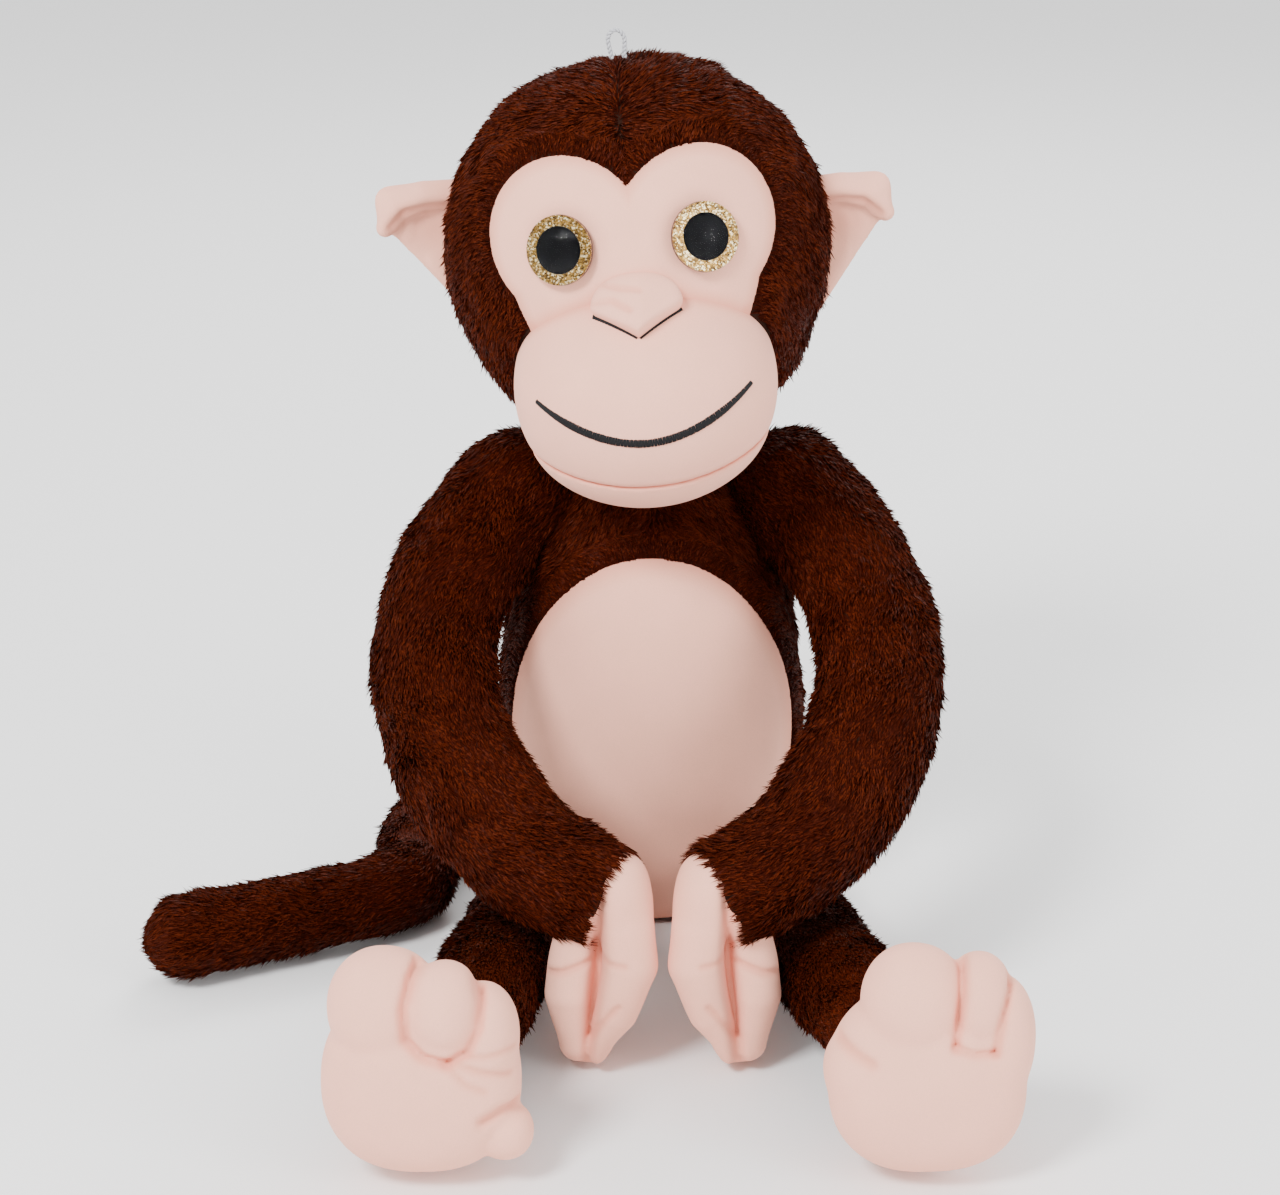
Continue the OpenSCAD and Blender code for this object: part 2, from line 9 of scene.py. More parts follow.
import bpy
import numpy as np
import openvdb
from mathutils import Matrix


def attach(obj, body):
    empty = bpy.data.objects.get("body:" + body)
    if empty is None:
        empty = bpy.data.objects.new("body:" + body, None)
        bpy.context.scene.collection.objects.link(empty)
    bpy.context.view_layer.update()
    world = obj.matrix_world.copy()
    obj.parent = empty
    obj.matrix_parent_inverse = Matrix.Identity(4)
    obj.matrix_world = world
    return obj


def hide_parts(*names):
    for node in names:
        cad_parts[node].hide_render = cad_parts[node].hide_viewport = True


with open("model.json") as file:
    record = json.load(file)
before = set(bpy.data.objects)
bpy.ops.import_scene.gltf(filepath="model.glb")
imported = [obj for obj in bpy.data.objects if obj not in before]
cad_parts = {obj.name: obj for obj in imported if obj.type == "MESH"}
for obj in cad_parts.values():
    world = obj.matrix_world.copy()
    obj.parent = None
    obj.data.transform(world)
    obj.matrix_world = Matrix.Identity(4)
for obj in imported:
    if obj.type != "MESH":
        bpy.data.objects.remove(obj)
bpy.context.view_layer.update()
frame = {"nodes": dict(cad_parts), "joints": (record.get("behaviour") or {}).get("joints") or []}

MM = 0.001
LEFT = 1
RIGHT = -1
SIDES = {"left": LEFT, "right": RIGHT}


# ---------- camera, floor and light ----------

AIM = (0.0, -0.060, 0.220)
STAND_OFF = 1.5
LOOK_DOWN = math.radians(19)
LENS = 88.03
SHIFT = (-0.0094, -0.0570)


def add_camera():
    data = bpy.data.cameras.new("camera")
    data.lens = LENS
    data.sensor_width = 36
    data.shift_x, data.shift_y = SHIFT
    camera = bpy.data.objects.new("camera", data)
    bpy.context.scene.collection.objects.link(camera)
    camera.location = (
        AIM[0],
        AIM[1] - STAND_OFF * math.cos(LOOK_DOWN),
        AIM[2] + STAND_OFF * math.sin(LOOK_DOWN),
    )
    camera.rotation_euler = (math.pi / 2 - LOOK_DOWN, 0, 0)
    bpy.context.scene.camera = camera


def add_light(name, place, aim, size, watts):
    data = bpy.data.lights.new(name, "AREA")
    data.shape = "DISK"
    data.size = size
    data.energy = watts
    light = bpy.data.objects.new(name, data)
    bpy.context.scene.collection.objects.link(light)
    light.location = place
    way = np.array(aim, float) - np.array(place, float)
    light.rotation_euler = (
        math.acos(-way[2] / np.linalg.norm(way)),
        0,
        math.atan2(way[1], way[0]) - math.pi / 2,
    )


def add_studio():
    world = bpy.data.worlds.new("studio")
    world.use_nodes = True
    back = world.node_tree.nodes["Background"]
    back.inputs["Color"].default_value = (1.0, 1.0, 1.0, 1)
    back.inputs["Strength"].default_value = 1.35
    bpy.context.scene.world = world
    add_light("key", (-1.0, -1.5, 1.8), (0, 0, 0.22), 0.7, 70)
    add_light("fill", (1.5, -1.3, 0.9), (0, 0, 0.20), 1.0, 18)
    add_light("rim", (0.3, 1.5, 1.5), (0, 0, 0.25), 1.0, 22)
    bpy.ops.mesh.primitive_plane_add(size=12, location=(0, 0, 0))
    floor = bpy.context.object
    floor.name = "floor"
    paint = bpy.data.materials.new("floor_paint")
    paint.use_nodes = True
    shader = paint.node_tree.nodes["Principled BSDF"]
    shader.inputs["Base Color"].default_value = (0.94, 0.94, 0.94, 1)
    shader.inputs["Roughness"].default_value = 0.75
    floor.data.materials.append(paint)


# ---------- places, from the joints ----------


def pivot(joint):
    """A joint's pivot, in millimetres."""
    for j in frame["joints"]:
        if j["name"] == joint:
            return np.array(j["pos_m"], float) / MM
    raise KeyError(joint)


def rotation(axis, degrees):
    c, s = math.cos(math.radians(degrees)), math.sin(math.radians(degrees))
    turns = {
        "x": [[1, 0, 0], [0, c, -s], [0, s, c]],
        "y": [[c, 0, s], [0, 1, 0], [-s, 0, c]],
        "z": [[c, -s, 0], [s, c, 0], [0, 0, 1]],
    }
    return np.array(turns[axis])


class Place:
    """A local frame: its origin and turn, in millimetres."""

    def __init__(self, origin=(0, 0, 0), turn=None):
        self.origin = np.array(origin, float)
        self.turn = np.eye(3) if turn is None else turn

    def out(self, points):
        return np.asarray(points, float) @ self.turn.T + self.origin

    def way(self, directions):
        return np.asarray(directions, float) @ self.turn.T


HEAD_ROLL = 5.5
HEAD_OFF = np.array([-7, -8, 87])
HAND_LEAN = 8
SOLE_TILT = 8
NECK = pivot("neck_turn")
WORLD = Place()
HEAD = Place(NECK + HEAD_OFF, rotation("y", -HEAD_ROLL))
SHOULDER = {s: pivot(n + "_shoulder_raise") for n, s in SIDES.items()}
WRIST = {s: pivot(n + "_wrist_swing") for n, s in SIDES.items()}
HIP = {s: pivot(n + "_hip_spread") for n, s in SIDES.items()}
ANKLE = {s: pivot(n + "_ankle_tip") for n, s in SIDES.items()}
HAND = {s: Place(WRIST[s], rotation("x", 180 - HAND_LEAN)) for s in SIDES.values()}
FOOT = {s: Place(ANKLE[s], rotation("x", 90 - SOLE_TILT)) for s in SIDES.values()}
TAIL_ROOT = pivot("tail_swing")


# ---------- distance fields, in millimetres ----------


def ball(p, centre, radius):
    return np.linalg.norm(p - np.array(centre, float), axis=-1) - radius


def egg(p, centre, half, power=2.0):
    """Nearly the distance from an ellipsoid, boxier as the power rises."""
    half = np.array(half, float)
    q = np.abs((p - np.array(centre, float)) / half)
    level = (q**power).sum(-1) ** (1 / power)
    slope = np.sqrt(((q ** (power - 1) / half) ** 2).sum(-1)) / np.maximum(level, 1e-6) ** (power - 1)
    return (level - 1) / np.maximum(slope, 1e-4)


def pill(p, start, end, r1, r2):
    a, b = np.array(start, float), np.array(end, float)
    t = np.clip(((p - a) @ (b - a)) / ((b - a) @ (b - a)), 0, 1)[..., None]
    return np.linalg.norm(p - a - t * (b - a), axis=-1) - (r1 + (r2 - r1) * t[..., 0])


def tube(p, points, radii):
    """Distance from a tube along a line of points."""
    d = None
    for i in range(len(points) - 1):
        e = pill(p, points[i], points[i + 1], radii[i], radii[i + 1])
        d = e if d is None else np.minimum(d, e)
    return d


def join(a, b, round_off):
    h = np.clip(0.5 + 0.5 * (b - a) / round_off, 0, 1)
    return b + (a - b) * h - round_off * h * (1 - h)


def cut(a, b, round_off):
    """What is in a and not in b."""
    return -join(-a, b, round_off)


def both(a, b, round_off):
    return -join(-a, -b, round_off)


def from_line(p, points):
    """Distance from a broken line."""
    return tube(p, points, [0.0] * len(points))


def valley(p, points, depth, width):
    return depth * np.exp(-((from_line(p, points) / width) ** 2))


def crease_on(flat, facing, points, depth, width):
    """A valley along a line drawn on the front, whatever the surface's depth there."""
    return valley(flat, points, depth, width) * np.clip(facing / 4, 0, 1)


def tint(flat, creases, spread):
    """How much of the creases' shade falls on each point, a little wider than the creases."""
    return sum(valley(flat, points, 1, spread * width) for _, width, points in creases)


def wobble(p, size, seed=0.0):
    """Soft unevenness of stuffing, from -1 to 1."""
    x, y, z = (p[..., i] / size + seed for i in range(3))
    first = np.sin(x + 1.3 * np.sin(y))
    second = np.sin(1.1 * y + 1.7 * np.sin(z))
    third = np.sin(0.9 * z + np.sin(1.9 * x))
    return (first + second + third) / 3


# ---------- meshes ----------


def mesh_object(name, points, faces, material):
    """An object at the origin, with its place in its mesh; the points are in millimetres."""
    mesh = bpy.data.meshes.new(name)
    mesh.from_pydata((np.asarray(points) * MM).tolist(), [], [list(map(int, f)) for f in faces])
    mesh.validate()
    mesh.shade_smooth()
    mesh.materials.append(material)
    piece = bpy.data.objects.new(name, mesh)
    bpy.context.scene.collection.objects.link(piece)
    return piece


def skin(name, field, low, high, step, material, place=WORLD):
    """The closed surface where the field is nought. Returns the object and its local points."""
    low, high = np.array(low, float), np.array(high, float)
    counts = np.ceil((high - low) / step).astype(int) + 1
    axes = [low[i] + step * np.arange(counts[i]) for i in range(3)]
    values = field(np.stack(np.meshgrid(*axes, indexing="ij"), axis=-1))
    grid = openvdb.FloatGrid(100.0)
    grid.copyFromArray(np.ascontiguousarray(values, dtype=np.float32))
    points, triangles, quads = grid.convertToPolygons(0.0, 0.0)
    points = low + points * step
    faces = [f[::-1] for f in quads.tolist()] + [f[::-1] for f in triangles.tolist()]
    local = np.asarray(points, float)
    piece = mesh_object(name, place.out(local), faces, material)
    face_outwards(piece)
    return piece, local


def face_outwards(piece):
    mesh = piece.data
    mesh.calc_loop_triangles()
    co = np.zeros(len(mesh.vertices) * 3)
    mesh.vertices.foreach_get("co", co)
    co = co.reshape(-1, 3)
    tri = np.zeros(len(mesh.loop_triangles) * 3, np.int64)
    mesh.loop_triangles.foreach_get("vertices", tri)
    a, b, c = (co[tri.reshape(-1, 3)[:, i]] for i in range(3))
    if np.einsum("ij,ij->i", a, np.cross(b, c)).sum() < 0:
        mesh.flip_normals()


def note(piece, name, values, kind="FLOAT"):
    """Keeps a number or a direction for each point of a piece."""
    attribute = piece.data.attributes.new(name, kind, "POINT")
    key = "vector" if kind == "FLOAT_VECTOR" else "value"
    attribute.data.foreach_set(key, np.asarray(values, np.float32).ravel())


def sweep(points, radii, sides=8):
    """A tube with round ends along a line of points, as points and faces."""
    points = np.array(points, float)
    ways = np.gradient(points, axis=0)
    ways /= np.linalg.norm(ways, axis=1)[:, None]
    side = np.cross(ways[0], [0.31, 0.9, 0.2])
    rings = []
    for centre, way, radius in zip(points, ways, radii):
        side = side - way * (side @ way)
        side /= np.linalg.norm(side)
        other = np.cross(way, side)
        turn = 2 * math.pi * np.arange(sides) / sides
        rings.append(centre + radius * (np.cos(turn)[:, None] * side + np.sin(turn)[:, None] * other))
    faces = []
    for i in range(0, (len(points) - 1) * sides, sides):
        for k in range(sides):
            after = (k + 1) % sides
            faces.append((i + k, i + after, i + sides + after, i + sides + k))
    faces.append(tuple(range(sides - 1, -1, -1)))
    faces.append(tuple((len(points) - 1) * sides + k for k in range(sides)))
    return np.concatenate(rings), faces


# ---------- materials ----------


def pile_group():
    """Unevenness of a short pile: a slow shade and a fine height."""
    group = bpy.data.node_groups.new("pile", "ShaderNodeTree")
    group.interface.new_socket("Fineness", in_out="INPUT", socket_type="NodeSocketFloat")
    group.interface.new_socket("Shade", in_out="OUTPUT", socket_type="NodeSocketFloat")
    group.interface.new_socket("Height", in_out="OUTPUT", socket_type="NodeSocketFloat")
    nodes, links = group.nodes, group.links
    entry = nodes.new("NodeGroupInput")
    leave = nodes.new("NodeGroupOutput")
    where = nodes.new("ShaderNodeTexCoord")
    slow = nodes.new("ShaderNodeTexNoise")
    slow.inputs["Scale"].default_value = 55
    slow.inputs["Detail"].default_value = 4
    fine = nodes.new("ShaderNodeTexNoise")
    fine.inputs["Detail"].default_value = 5
    fine.inputs["Roughness"].default_value = 0.75
    links.new(where.outputs["Object"], slow.inputs["Vector"])
    links.new(where.outputs["Object"], fine.inputs["Vector"])
    links.new(entry.outputs["Fineness"], fine.inputs["Scale"])
    links.new(slow.outputs["Fac"], leave.inputs["Shade"])
    links.new(fine.outputs["Fac"], leave.inputs["Height"])
    return group


PILE = pile_group()


class Paint:
    """A material in the making: its node tree and its Principled shader."""

    def __init__(self, name, roughness, **plain):
        self.material = bpy.data.materials.new(name)
        self.material.use_nodes = True
        self.nodes = self.material.node_tree.nodes
        self.links = self.material.node_tree.links
        self.shader = self.nodes["Principled BSDF"]
        self.shader.inputs["Roughness"].default_value = roughness
        for socket, value in plain.items():
            self.shader.inputs[socket.replace("_", " ")].default_value = value

    def add(self, kind, **inputs):
        node = self.nodes.new(kind)
        for socket, value in inputs.items():
            node.inputs[socket.replace("_", " ")].default_value = value
        return node

    def pile(self, fineness):
        node = self.nodes.new("ShaderNodeGroup")
        node.node_tree = PILE
        node.inputs["Fineness"].default_value = fineness
        return node

    def mix(self, factor, low, high):
        """The first colour or socket where the factor is nought, the second where it is one."""
        node = self.nodes.new("ShaderNodeMix")
        node.data_type = "RGBA"
        for socket, value in ((node.inputs[0], factor), (node.inputs[6], low), (node.inputs[7], high)):
            if isinstance(value, bpy.types.NodeSocket):
                self.links.new(value, socket)
            else:
                socket.default_value = value if socket == node.inputs[0] else (*value, 1)
        return node.outputs[2]

    def ramp(self, factor, stops):
        node = self.nodes.new("ShaderNodeValToRGB")
        bar = node.color_ramp.elements
        while len(bar) < len(stops):
            bar.new(0.5)
        for element, (at, colour) in zip(bar, stops):
            element.position = at
            element.color = (*colour, 1)
        self.links.new(factor, node.inputs["Fac"])
        return node.outputs["Color"]

    def colour(self, socket):
        self.links.new(socket, self.shader.inputs["Base Color"])

    def bump(self, height, strength, depth_mm):
        node = self.add("ShaderNodeBump", Strength=strength, Distance=depth_mm * MM)
        self.links.new(height, node.inputs["Height"])
        self.links.new(node.outputs["Normal"], self.shader.inputs["Normal"])


def velboa(name, pale, shaded):
    """Short-pile cloth: pale on the crowns, with painted shade in a darker, warmer peach down in the
    creases and along the seams.
    """
    paint = Paint(name, 0.9, Sheen_Weight=0.15, Sheen_Roughness=0.4, Specular_IOR_Level=0.15)
    paint.shader.inputs["Sheen Tint"].default_value = (1.0, 0.86, 0.80, 1)
    pile = paint.pile(1700)
    # the crease number says where painted shade goes: a darker, warmer peach in creases, hollows and
    # along seams
    crease = paint.add("ShaderNodeAttribute")
    crease.attribute_name = "crease"
    mottled = paint.mix(
        paint.ramp(pile.outputs["Shade"], [(0.3, (0, 0, 0)), (0.7, (1, 1, 1))]),
        tuple(c * 0.955 for c in pale),
        pale,
    )
    speckled = paint.mix(
        paint.ramp(pile.outputs["Height"], [(0.35, (0.35, 0.35, 0.35)), (0.6, (0, 0, 0))]),
        mottled,
        tuple(c * 0.80 for c in pale),
    )
    paint.colour(paint.mix(crease.outputs["Fac"], speckled, shaded))
    paint.bump(pile.outputs["Height"], 0.5, 0.35)
    return paint.material


def two_tone(name, roughness, fineness, dark, light, bump=None, by="Height", **plain):
    """A material that wanders between two colours. The bump is its strength and depth."""
    paint = Paint(name, roughness, **plain)
    pile = paint.pile(fineness)
    paint.colour(paint.mix(pile.outputs[by], dark, light))
    if bump:
        paint.bump(pile.outputs["Height"], *bump)
    return paint.material


def strand(name, colour, roughness=0.5):
    """Plain-coloured fibre; the fur's variety comes from the mix of several of these."""
    paint = Paint(name, roughness, Sheen_Weight=0.03, Sheen_Roughness=0.35, Specular_IOR_Level=0.04)
    paint.shader.inputs["Base Color"].default_value = (*colour, 1)
    paint.shader.inputs["Sheen Tint"].default_value = (0.80, 0.30, 0.15, 1)
    return paint.material


def glitter():
    """Metal flakes under the dome: small cells that each lean their own way."""
    paint = Paint("gold_glitter", 0.3, Metallic=0.6)
    where = paint.add("ShaderNodeTexCoord")
    flakes = paint.add("ShaderNodeTexVoronoi", Scale=1300.0)
    paint.links.new(where.outputs["Object"], flakes.inputs["Vector"])
    parts = paint.add("ShaderNodeSeparateColor")
    paint.links.new(flakes.outputs["Color"], parts.inputs["Color"])
    golds = [
        (0.0, (0.045, 0.018, 0.002)),
        (0.35, (0.21, 0.105, 0.012)),
        (0.7, (0.46, 0.26, 0.05)),
        (0.93, (0.95, 0.80, 0.48)),
    ]
    paint.colour(paint.ramp(parts.outputs[0], golds))
    paint.bump(parts.outputs[1], 1.0, 0.5)
    return paint.material


PALE = (0.97, 0.480, 0.355)
# painted shade: the darker, warmer peach used down in creases, hollows and along seams
SHADED_PEACH = (0.74, 0.27, 0.18)
FACE_CLOTH = velboa("peach_velboa", PALE, SHADED_PEACH)
# the backing knit is made near-black, darker than the fur: partly its own colour, partly painted shade
# at the bottom of the pile
SHADED_KNIT = ((0.006, 0.0022, 0.0012), (0.030, 0.0095, 0.0045))
BACKING = two_tone("fur_backing", 0.95, 900, *SHADED_KNIT, (0.6, 0.6), Specular_IOR_Level=0.1)
# painted shade: a darker colour for the lower face of every blade, down at the roots of the pile
FUR_ROOT_SHADE = strand("fur_root", (0.026, 0.0028, 0.0004), 0.8)
FUR_TONES = [
    strand("fur_dark", (0.037, 0.0042, 0.0006)),
    strand("fur_brown", (0.050, 0.0062, 0.0009)),
    strand("fur_light", (0.068, 0.0094, 0.0015)),
]
FIBRE = ((0.74, 0.74, 0.72), (0.93, 0.93, 0.91))
FILLING = two_tone("fibre_filling", 0.95, 450, *FIBRE, (0.8, 1.5), Sheen_Weight=0.3)
SATIN = ((0.004, 0.004, 0.005), (0.022, 0.021, 0.022))
THREAD = two_tone("black_satin_thread", 0.5, 2600, *SATIN, (0.4, 0.15), Specular_IOR_Level=0.15)
SILVER = ((0.28, 0.28, 0.30), (0.62, 0.62, 0.65))
CORD = dict(bump=(0.5, 0.15), Sheen_Weight=0.2, Specular_IOR_Level=0.6)


# ---------- fur ----------


def blade_mesh():
    """One flat tuft of pile: two faces, bent over towards the skin, one unit long."""
    wide, bend = 0.36 * MM, 1.5 * MM
    rows = [(0.0, 0.85, 0.0), (0.55, 1.0, 0.25), (1.0, 0.0, 1.0)]
    points = []
    for up, width, fall in rows[:2]:
        points += [(-wide * width, -bend * fall, up), (wide * width, -bend * fall, up)]
    points.append((0, -bend * rows[2][2], 1.0))
    mesh = bpy.data.meshes.new("blade")
    mesh.from_pydata(points, [], [(0, 1, 3, 2), (2, 3, 4)])
    tip = mesh.attributes.new("tip", "FLOAT", "POINT")
    tip.data.foreach_set("value", [0, 0, 0.55, 0.55, 1.0])
    return bpy.data.objects.new("blade", mesh)


def fur_tree(blade):
    """Blades scattered over a skin and combed along its kept directions."""
    tree = bpy.data.node_groups.new("combed_fur", "GeometryNodeTree")
    for name, kind in (
        ("Geometry", "NodeSocketGeometry"),
        ("Density", "NodeSocketFloat"),
        ("Length", "NodeSocketFloat"),
        ("Lift", "NodeSocketFloat"),
        ("Seed", "NodeSocketInt"),
    ):
        tree.interface.new_socket(name, in_out="INPUT", socket_type=kind)
    tree.interface.new_socket("Geometry", in_out="OUTPUT", socket_type="NodeSocketGeometry")
    nodes, links = tree.nodes, tree.links

    def add(kind, **settings):
        node = nodes.new(kind)
        for key, value in settings.items():
            setattr(node, key, value)
        return node

    def maths(operation, *values):
        node = add("ShaderNodeMath", operation=operation)
        return wire(node, values).outputs[0]

    def vector(operation, *values):
        node = add("ShaderNodeVectorMath", operation=operation)
        wire(node, values)
        return node.outputs["Value" if operation in ("LENGTH", "DOT_PRODUCT") else "Vector"]

    def wire(node, values):
        for socket, value in zip(node.inputs, values):
            if isinstance(value, bpy.types.NodeSocket):
                links.new(value, socket)
            elif value is not None:
                socket.default_value = value
        return node

    def scaled(value, by):
        node = add("ShaderNodeVectorMath", operation="SCALE")
        links.new(value, node.inputs[0])
        if isinstance(by, bpy.types.NodeSocket):
            links.new(by, node.inputs["Scale"])
        else:
            node.inputs["Scale"].default_value = by
        return node.outputs["Vector"]

    def kept(name, kind):
        node = add("GeometryNodeInputNamedAttribute", data_type=kind)
        node.inputs["Name"].default_value = name
        return node.outputs["Attribute"]

    def noise(scale):
        node = add("ShaderNodeTexNoise")
        node.inputs["Scale"].default_value = scale
        node.inputs["Detail"].default_value = 2
        links.new(add("GeometryNodeInputPosition").outputs[0], node.inputs["Vector"])
        return node

    def chance(kind, low, high, more):
        node = add("FunctionNodeRandomValue", data_type=kind)
        spots = [s for s in node.inputs if s.enabled]
        spots[0].default_value = low
        spots[1].default_value = high
        links.new(maths("ADD", entry.outputs["Seed"], more), node.inputs["Seed"])
        return [o for o in node.outputs if o.enabled][0]

    entry = add("NodeGroupInput")
    leave = add("NodeGroupOutput")
    spread = add("GeometryNodeDistributePointsOnFaces", distribute_method="RANDOM")
    links.new(entry.outputs["Geometry"], spread.inputs["Mesh"])
    links.new(entry.outputs["Density"], spread.inputs["Density"])
    links.new(entry.outputs["Seed"], spread.inputs["Seed"])
    thin = add("GeometryNodeDeleteGeometry", domain="POINT")
    links.new(spread.outputs["Points"], thin.inputs["Geometry"])
    links.new(maths("LESS_THAN", kept("furry", "FLOAT"), 0.0), thin.inputs["Selection"])

    lock = noise(75.0)
    patch = noise(24.0)
    swirl = scaled(vector("SUBTRACT", lock.outputs["Color"], (0.5, 0.5, 0.5)), 1.3)
    sway = scaled(vector("SUBTRACT", patch.outputs["Color"], (0.5, 0.5, 0.5)), 1.5)
    stray = chance("FLOAT_VECTOR", (-0.24, -0.24, -0.24), (0.24, 0.24, 0.24), 11)
    up = scaled(spread.outputs["Normal"], entry.outputs["Lift"])
    unrest = vector("ADD", swirl, vector("ADD", stray, sway))
    way = vector("ADD", vector("ADD", kept("comb", "FLOAT_VECTOR"), up), unrest)
    # every blade stands at least this far off the skin
    sink = maths("SUBTRACT", 0.22, vector("DOT_PRODUCT", way, spread.outputs["Normal"]))
    way = vector("ADD", way, scaled(spread.outputs["Normal"], maths("MAXIMUM", sink, 0.0)))
    along = add("FunctionNodeAlignRotationToVector", axis="Z")
    links.new(way, along.inputs["Vector"])
    facing = add("FunctionNodeAlignRotationToVector", axis="Y", pivot_axis="Z")
    links.new(along.outputs["Rotation"], facing.inputs["Rotation"])
    lean = chance("FLOAT_VECTOR", (-0.8, -0.8, -0.8), (0.8, 0.8, 0.8), 23)
    links.new(vector("ADD", spread.outputs["Normal"], lean), facing.inputs["Vector"])

    near_shade = maths("MULTIPLY", lock.outputs["Fac"], 0.7)
    far_shade = maths("MULTIPLY", patch.outputs["Fac"], 0.5)
    shade = maths("ADD", maths("ADD", near_shade, far_shade), chance("FLOAT", -0.30, 0.30, 37))
    tone = add("GeometryNodeStoreNamedAttribute", data_type="FLOAT", domain="POINT")
    tone.inputs["Name"].default_value = "tone"
    links.new(thin.outputs["Geometry"], tone.inputs["Geometry"])
    links.new(shade, tone.inputs["Value"])

    size = add("ShaderNodeCombineXYZ")
    size.inputs["X"].default_value = 1.0
    size.inputs["Y"].default_value = 1.0
    long = maths("MULTIPLY", entry.outputs["Length"], chance("FLOAT", 0.72, 1.12, 51))
    links.new(maths("MULTIPLY", long, kept("cropped", "FLOAT")), size.inputs["Z"])
    source = add("GeometryNodeObjectInfo")
    source.inputs["Object"].default_value = blade
    plant = add("GeometryNodeInstanceOnPoints")
    links.new(tone.outputs["Geometry"], plant.inputs["Points"])
    links.new(source.outputs["Geometry"], plant.inputs["Instance"])
    links.new(facing.outputs["Rotation"], plant.inputs["Rotation"])
    links.new(size.outputs["Vector"], plant.inputs["Scale"])
    real = add("GeometryNodeRealizeInstances")
    links.new(plant.outputs["Instances"], real.inputs["Geometry"])

    # no blade reaches below the floor
    parts = add("ShaderNodeSeparateXYZ")
    links.new(add("GeometryNodeInputPosition").outputs[0], parts.inputs["Vector"])
    held = add("ShaderNodeCombineXYZ")
    links.new(parts.outputs["X"], held.inputs["X"])
    links.new(parts.outputs["Y"], held.inputs["Y"])
    links.new(maths("MAXIMUM", parts.outputs["Z"], 0.3 * MM), held.inputs["Z"])
    stand = add("GeometryNodeSetPosition")
    links.new(real.outputs["Geometry"], stand.inputs["Geometry"])
    links.new(held.outputs["Vector"], stand.inputs["Position"])

    done = stand.outputs["Geometry"]
    limits = (-1.0, 0.52, 0.68)
    for material, limit in zip(FUR_TONES, limits):
        coat = add("GeometryNodeSetMaterial")
        coat.inputs["Material"].default_value = material
        links.new(done, coat.inputs["Geometry"])
        links.new(maths("GREATER_THAN", kept("tone", "FLOAT"), limit), coat.inputs["Selection"])
        done = coat.outputs["Geometry"]
    # painted shade: the lower face of every blade takes the darker root colour
    coat = add("GeometryNodeSetMaterial")
    coat.inputs["Material"].default_value = FUR_ROOT_SHADE
    links.new(done, coat.inputs["Geometry"])
    links.new(maths("LESS_THAN", kept("tip", "FLOAT"), 0.5), coat.inputs["Selection"])
    links.new(coat.outputs["Geometry"], leave.inputs["Geometry"])
    return tree


BLADES = 62000
FUR_LENGTH = 7.6
FUR_LIFT = 0.42
BLADE = blade_mesh()
FUR_TREE = fur_tree(BLADE)


def normals_of(piece):
    values = np.zeros(len(piece.data.vertices) * 3)
    piece.data.vertices.foreach_get("normal", values)
    return values.reshape(-1, 3)


def furry_area(piece, furry):
    """Area of the faces that carry fur, in square metres."""
    mesh = piece.data
    area = np.zeros(len(mesh.polygons))
    mesh.polygons.foreach_get("area", area)
    first = np.array([p.vertices[0] for p in mesh.polygons])
    return area[furry[first] > 0].sum()


def grow_fur(name, base, comb, furry, nodes, body, seed, cropped=None):
    """A coat of blades on a skin, combed along comb, growing where furry is above nought."""
    coat = bpy.data.objects.new(name, base.data.copy())
    bpy.context.scene.collection.objects.link(coat)
    normal = normals_of(base)
    comb = comb - normal * np.einsum("ij,ij->i", comb, normal)[:, None]
    comb /= np.maximum(np.linalg.norm(comb, axis=1), 1e-6)[:, None]
    note(coat, "comb", comb, "FLOAT_VECTOR")
    note(coat, "furry", furry)
    note(coat, "cropped", np.ones(len(furry)) if cropped is None else cropped)
    modifier = coat.modifiers.new("fur", "NODES")
    modifier.node_group = FUR_TREE
    sockets = {s.name: s.identifier for s in FUR_TREE.interface.items_tree if s.in_out == "INPUT"}
    blades = BLADES
    modifier[sockets["Density"]] = float(blades / max(furry_area(base, np.asarray(furry)), 1e-6))
    modifier[sockets["Length"]] = FUR_LENGTH * MM
    modifier[sockets["Lift"]] = FUR_LIFT
    modifier[sockets["Seed"]] = int(seed)
    graph = bpy.context.evaluated_depsgraph_get()
    mesh = bpy.data.meshes.new_from_object(coat.evaluated_get(graph))
    coat.modifiers.remove(modifier)
    coat.data = mesh
    for extra in ("comb", "furry", "cropped", "tone", "tip"):
        if extra in mesh.attributes:
            mesh.attributes.remove(mesh.attributes[extra])
    if nodes:
        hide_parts(*nodes)
    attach(coat, body)
    return coat


def finish_skin(piece, nodes, body):
    if nodes:
        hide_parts(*nodes)
    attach(piece, body)


def fill(name, field, depth, low, high, step, body, place=WORLD):
    """The wadding inside a skin, some millimetres below it."""
    piece, _ = skin(name, lambda p: field(p) + depth, low, high, step, FILLING, place)
    finish_skin(piece, [name], body)


def away_from(field, points):
    """Direction in which a flat outline's distance grows, for local points."""
    step = 1.0
    gx = field(points + [step, 0, 0]) - field(points - [step, 0, 0])
    gz = field(points + [0, 0, step]) - field(points - [0, 0, step])
    way = np.stack([gx, np.zeros_like(gx), gz], axis=-1)
    return way / np.maximum(np.linalg.norm(way, axis=-1), 1e-6)[..., None]


# ---------- torso ----------

TORSO_HALF = np.array([75.0, 66.6, 134.6])
WAIST = np.array([0.0, 0.0, 105.0])
NECK_BALL = 36.0
BELLY_HALF = (69.0, 96.5)
BELLY_MIDDLE = 100.5


def torso_field(p):
    body = egg(p, WAIST, TORSO_HALF, 2.05)
    neck = ball(p, NECK, NECK_BALL)
    whole = join(body, neck, 18) + 0.7 * wobble(p, 17, 2.0)
    return both(whole, 1.5 - p[..., 2], 6)


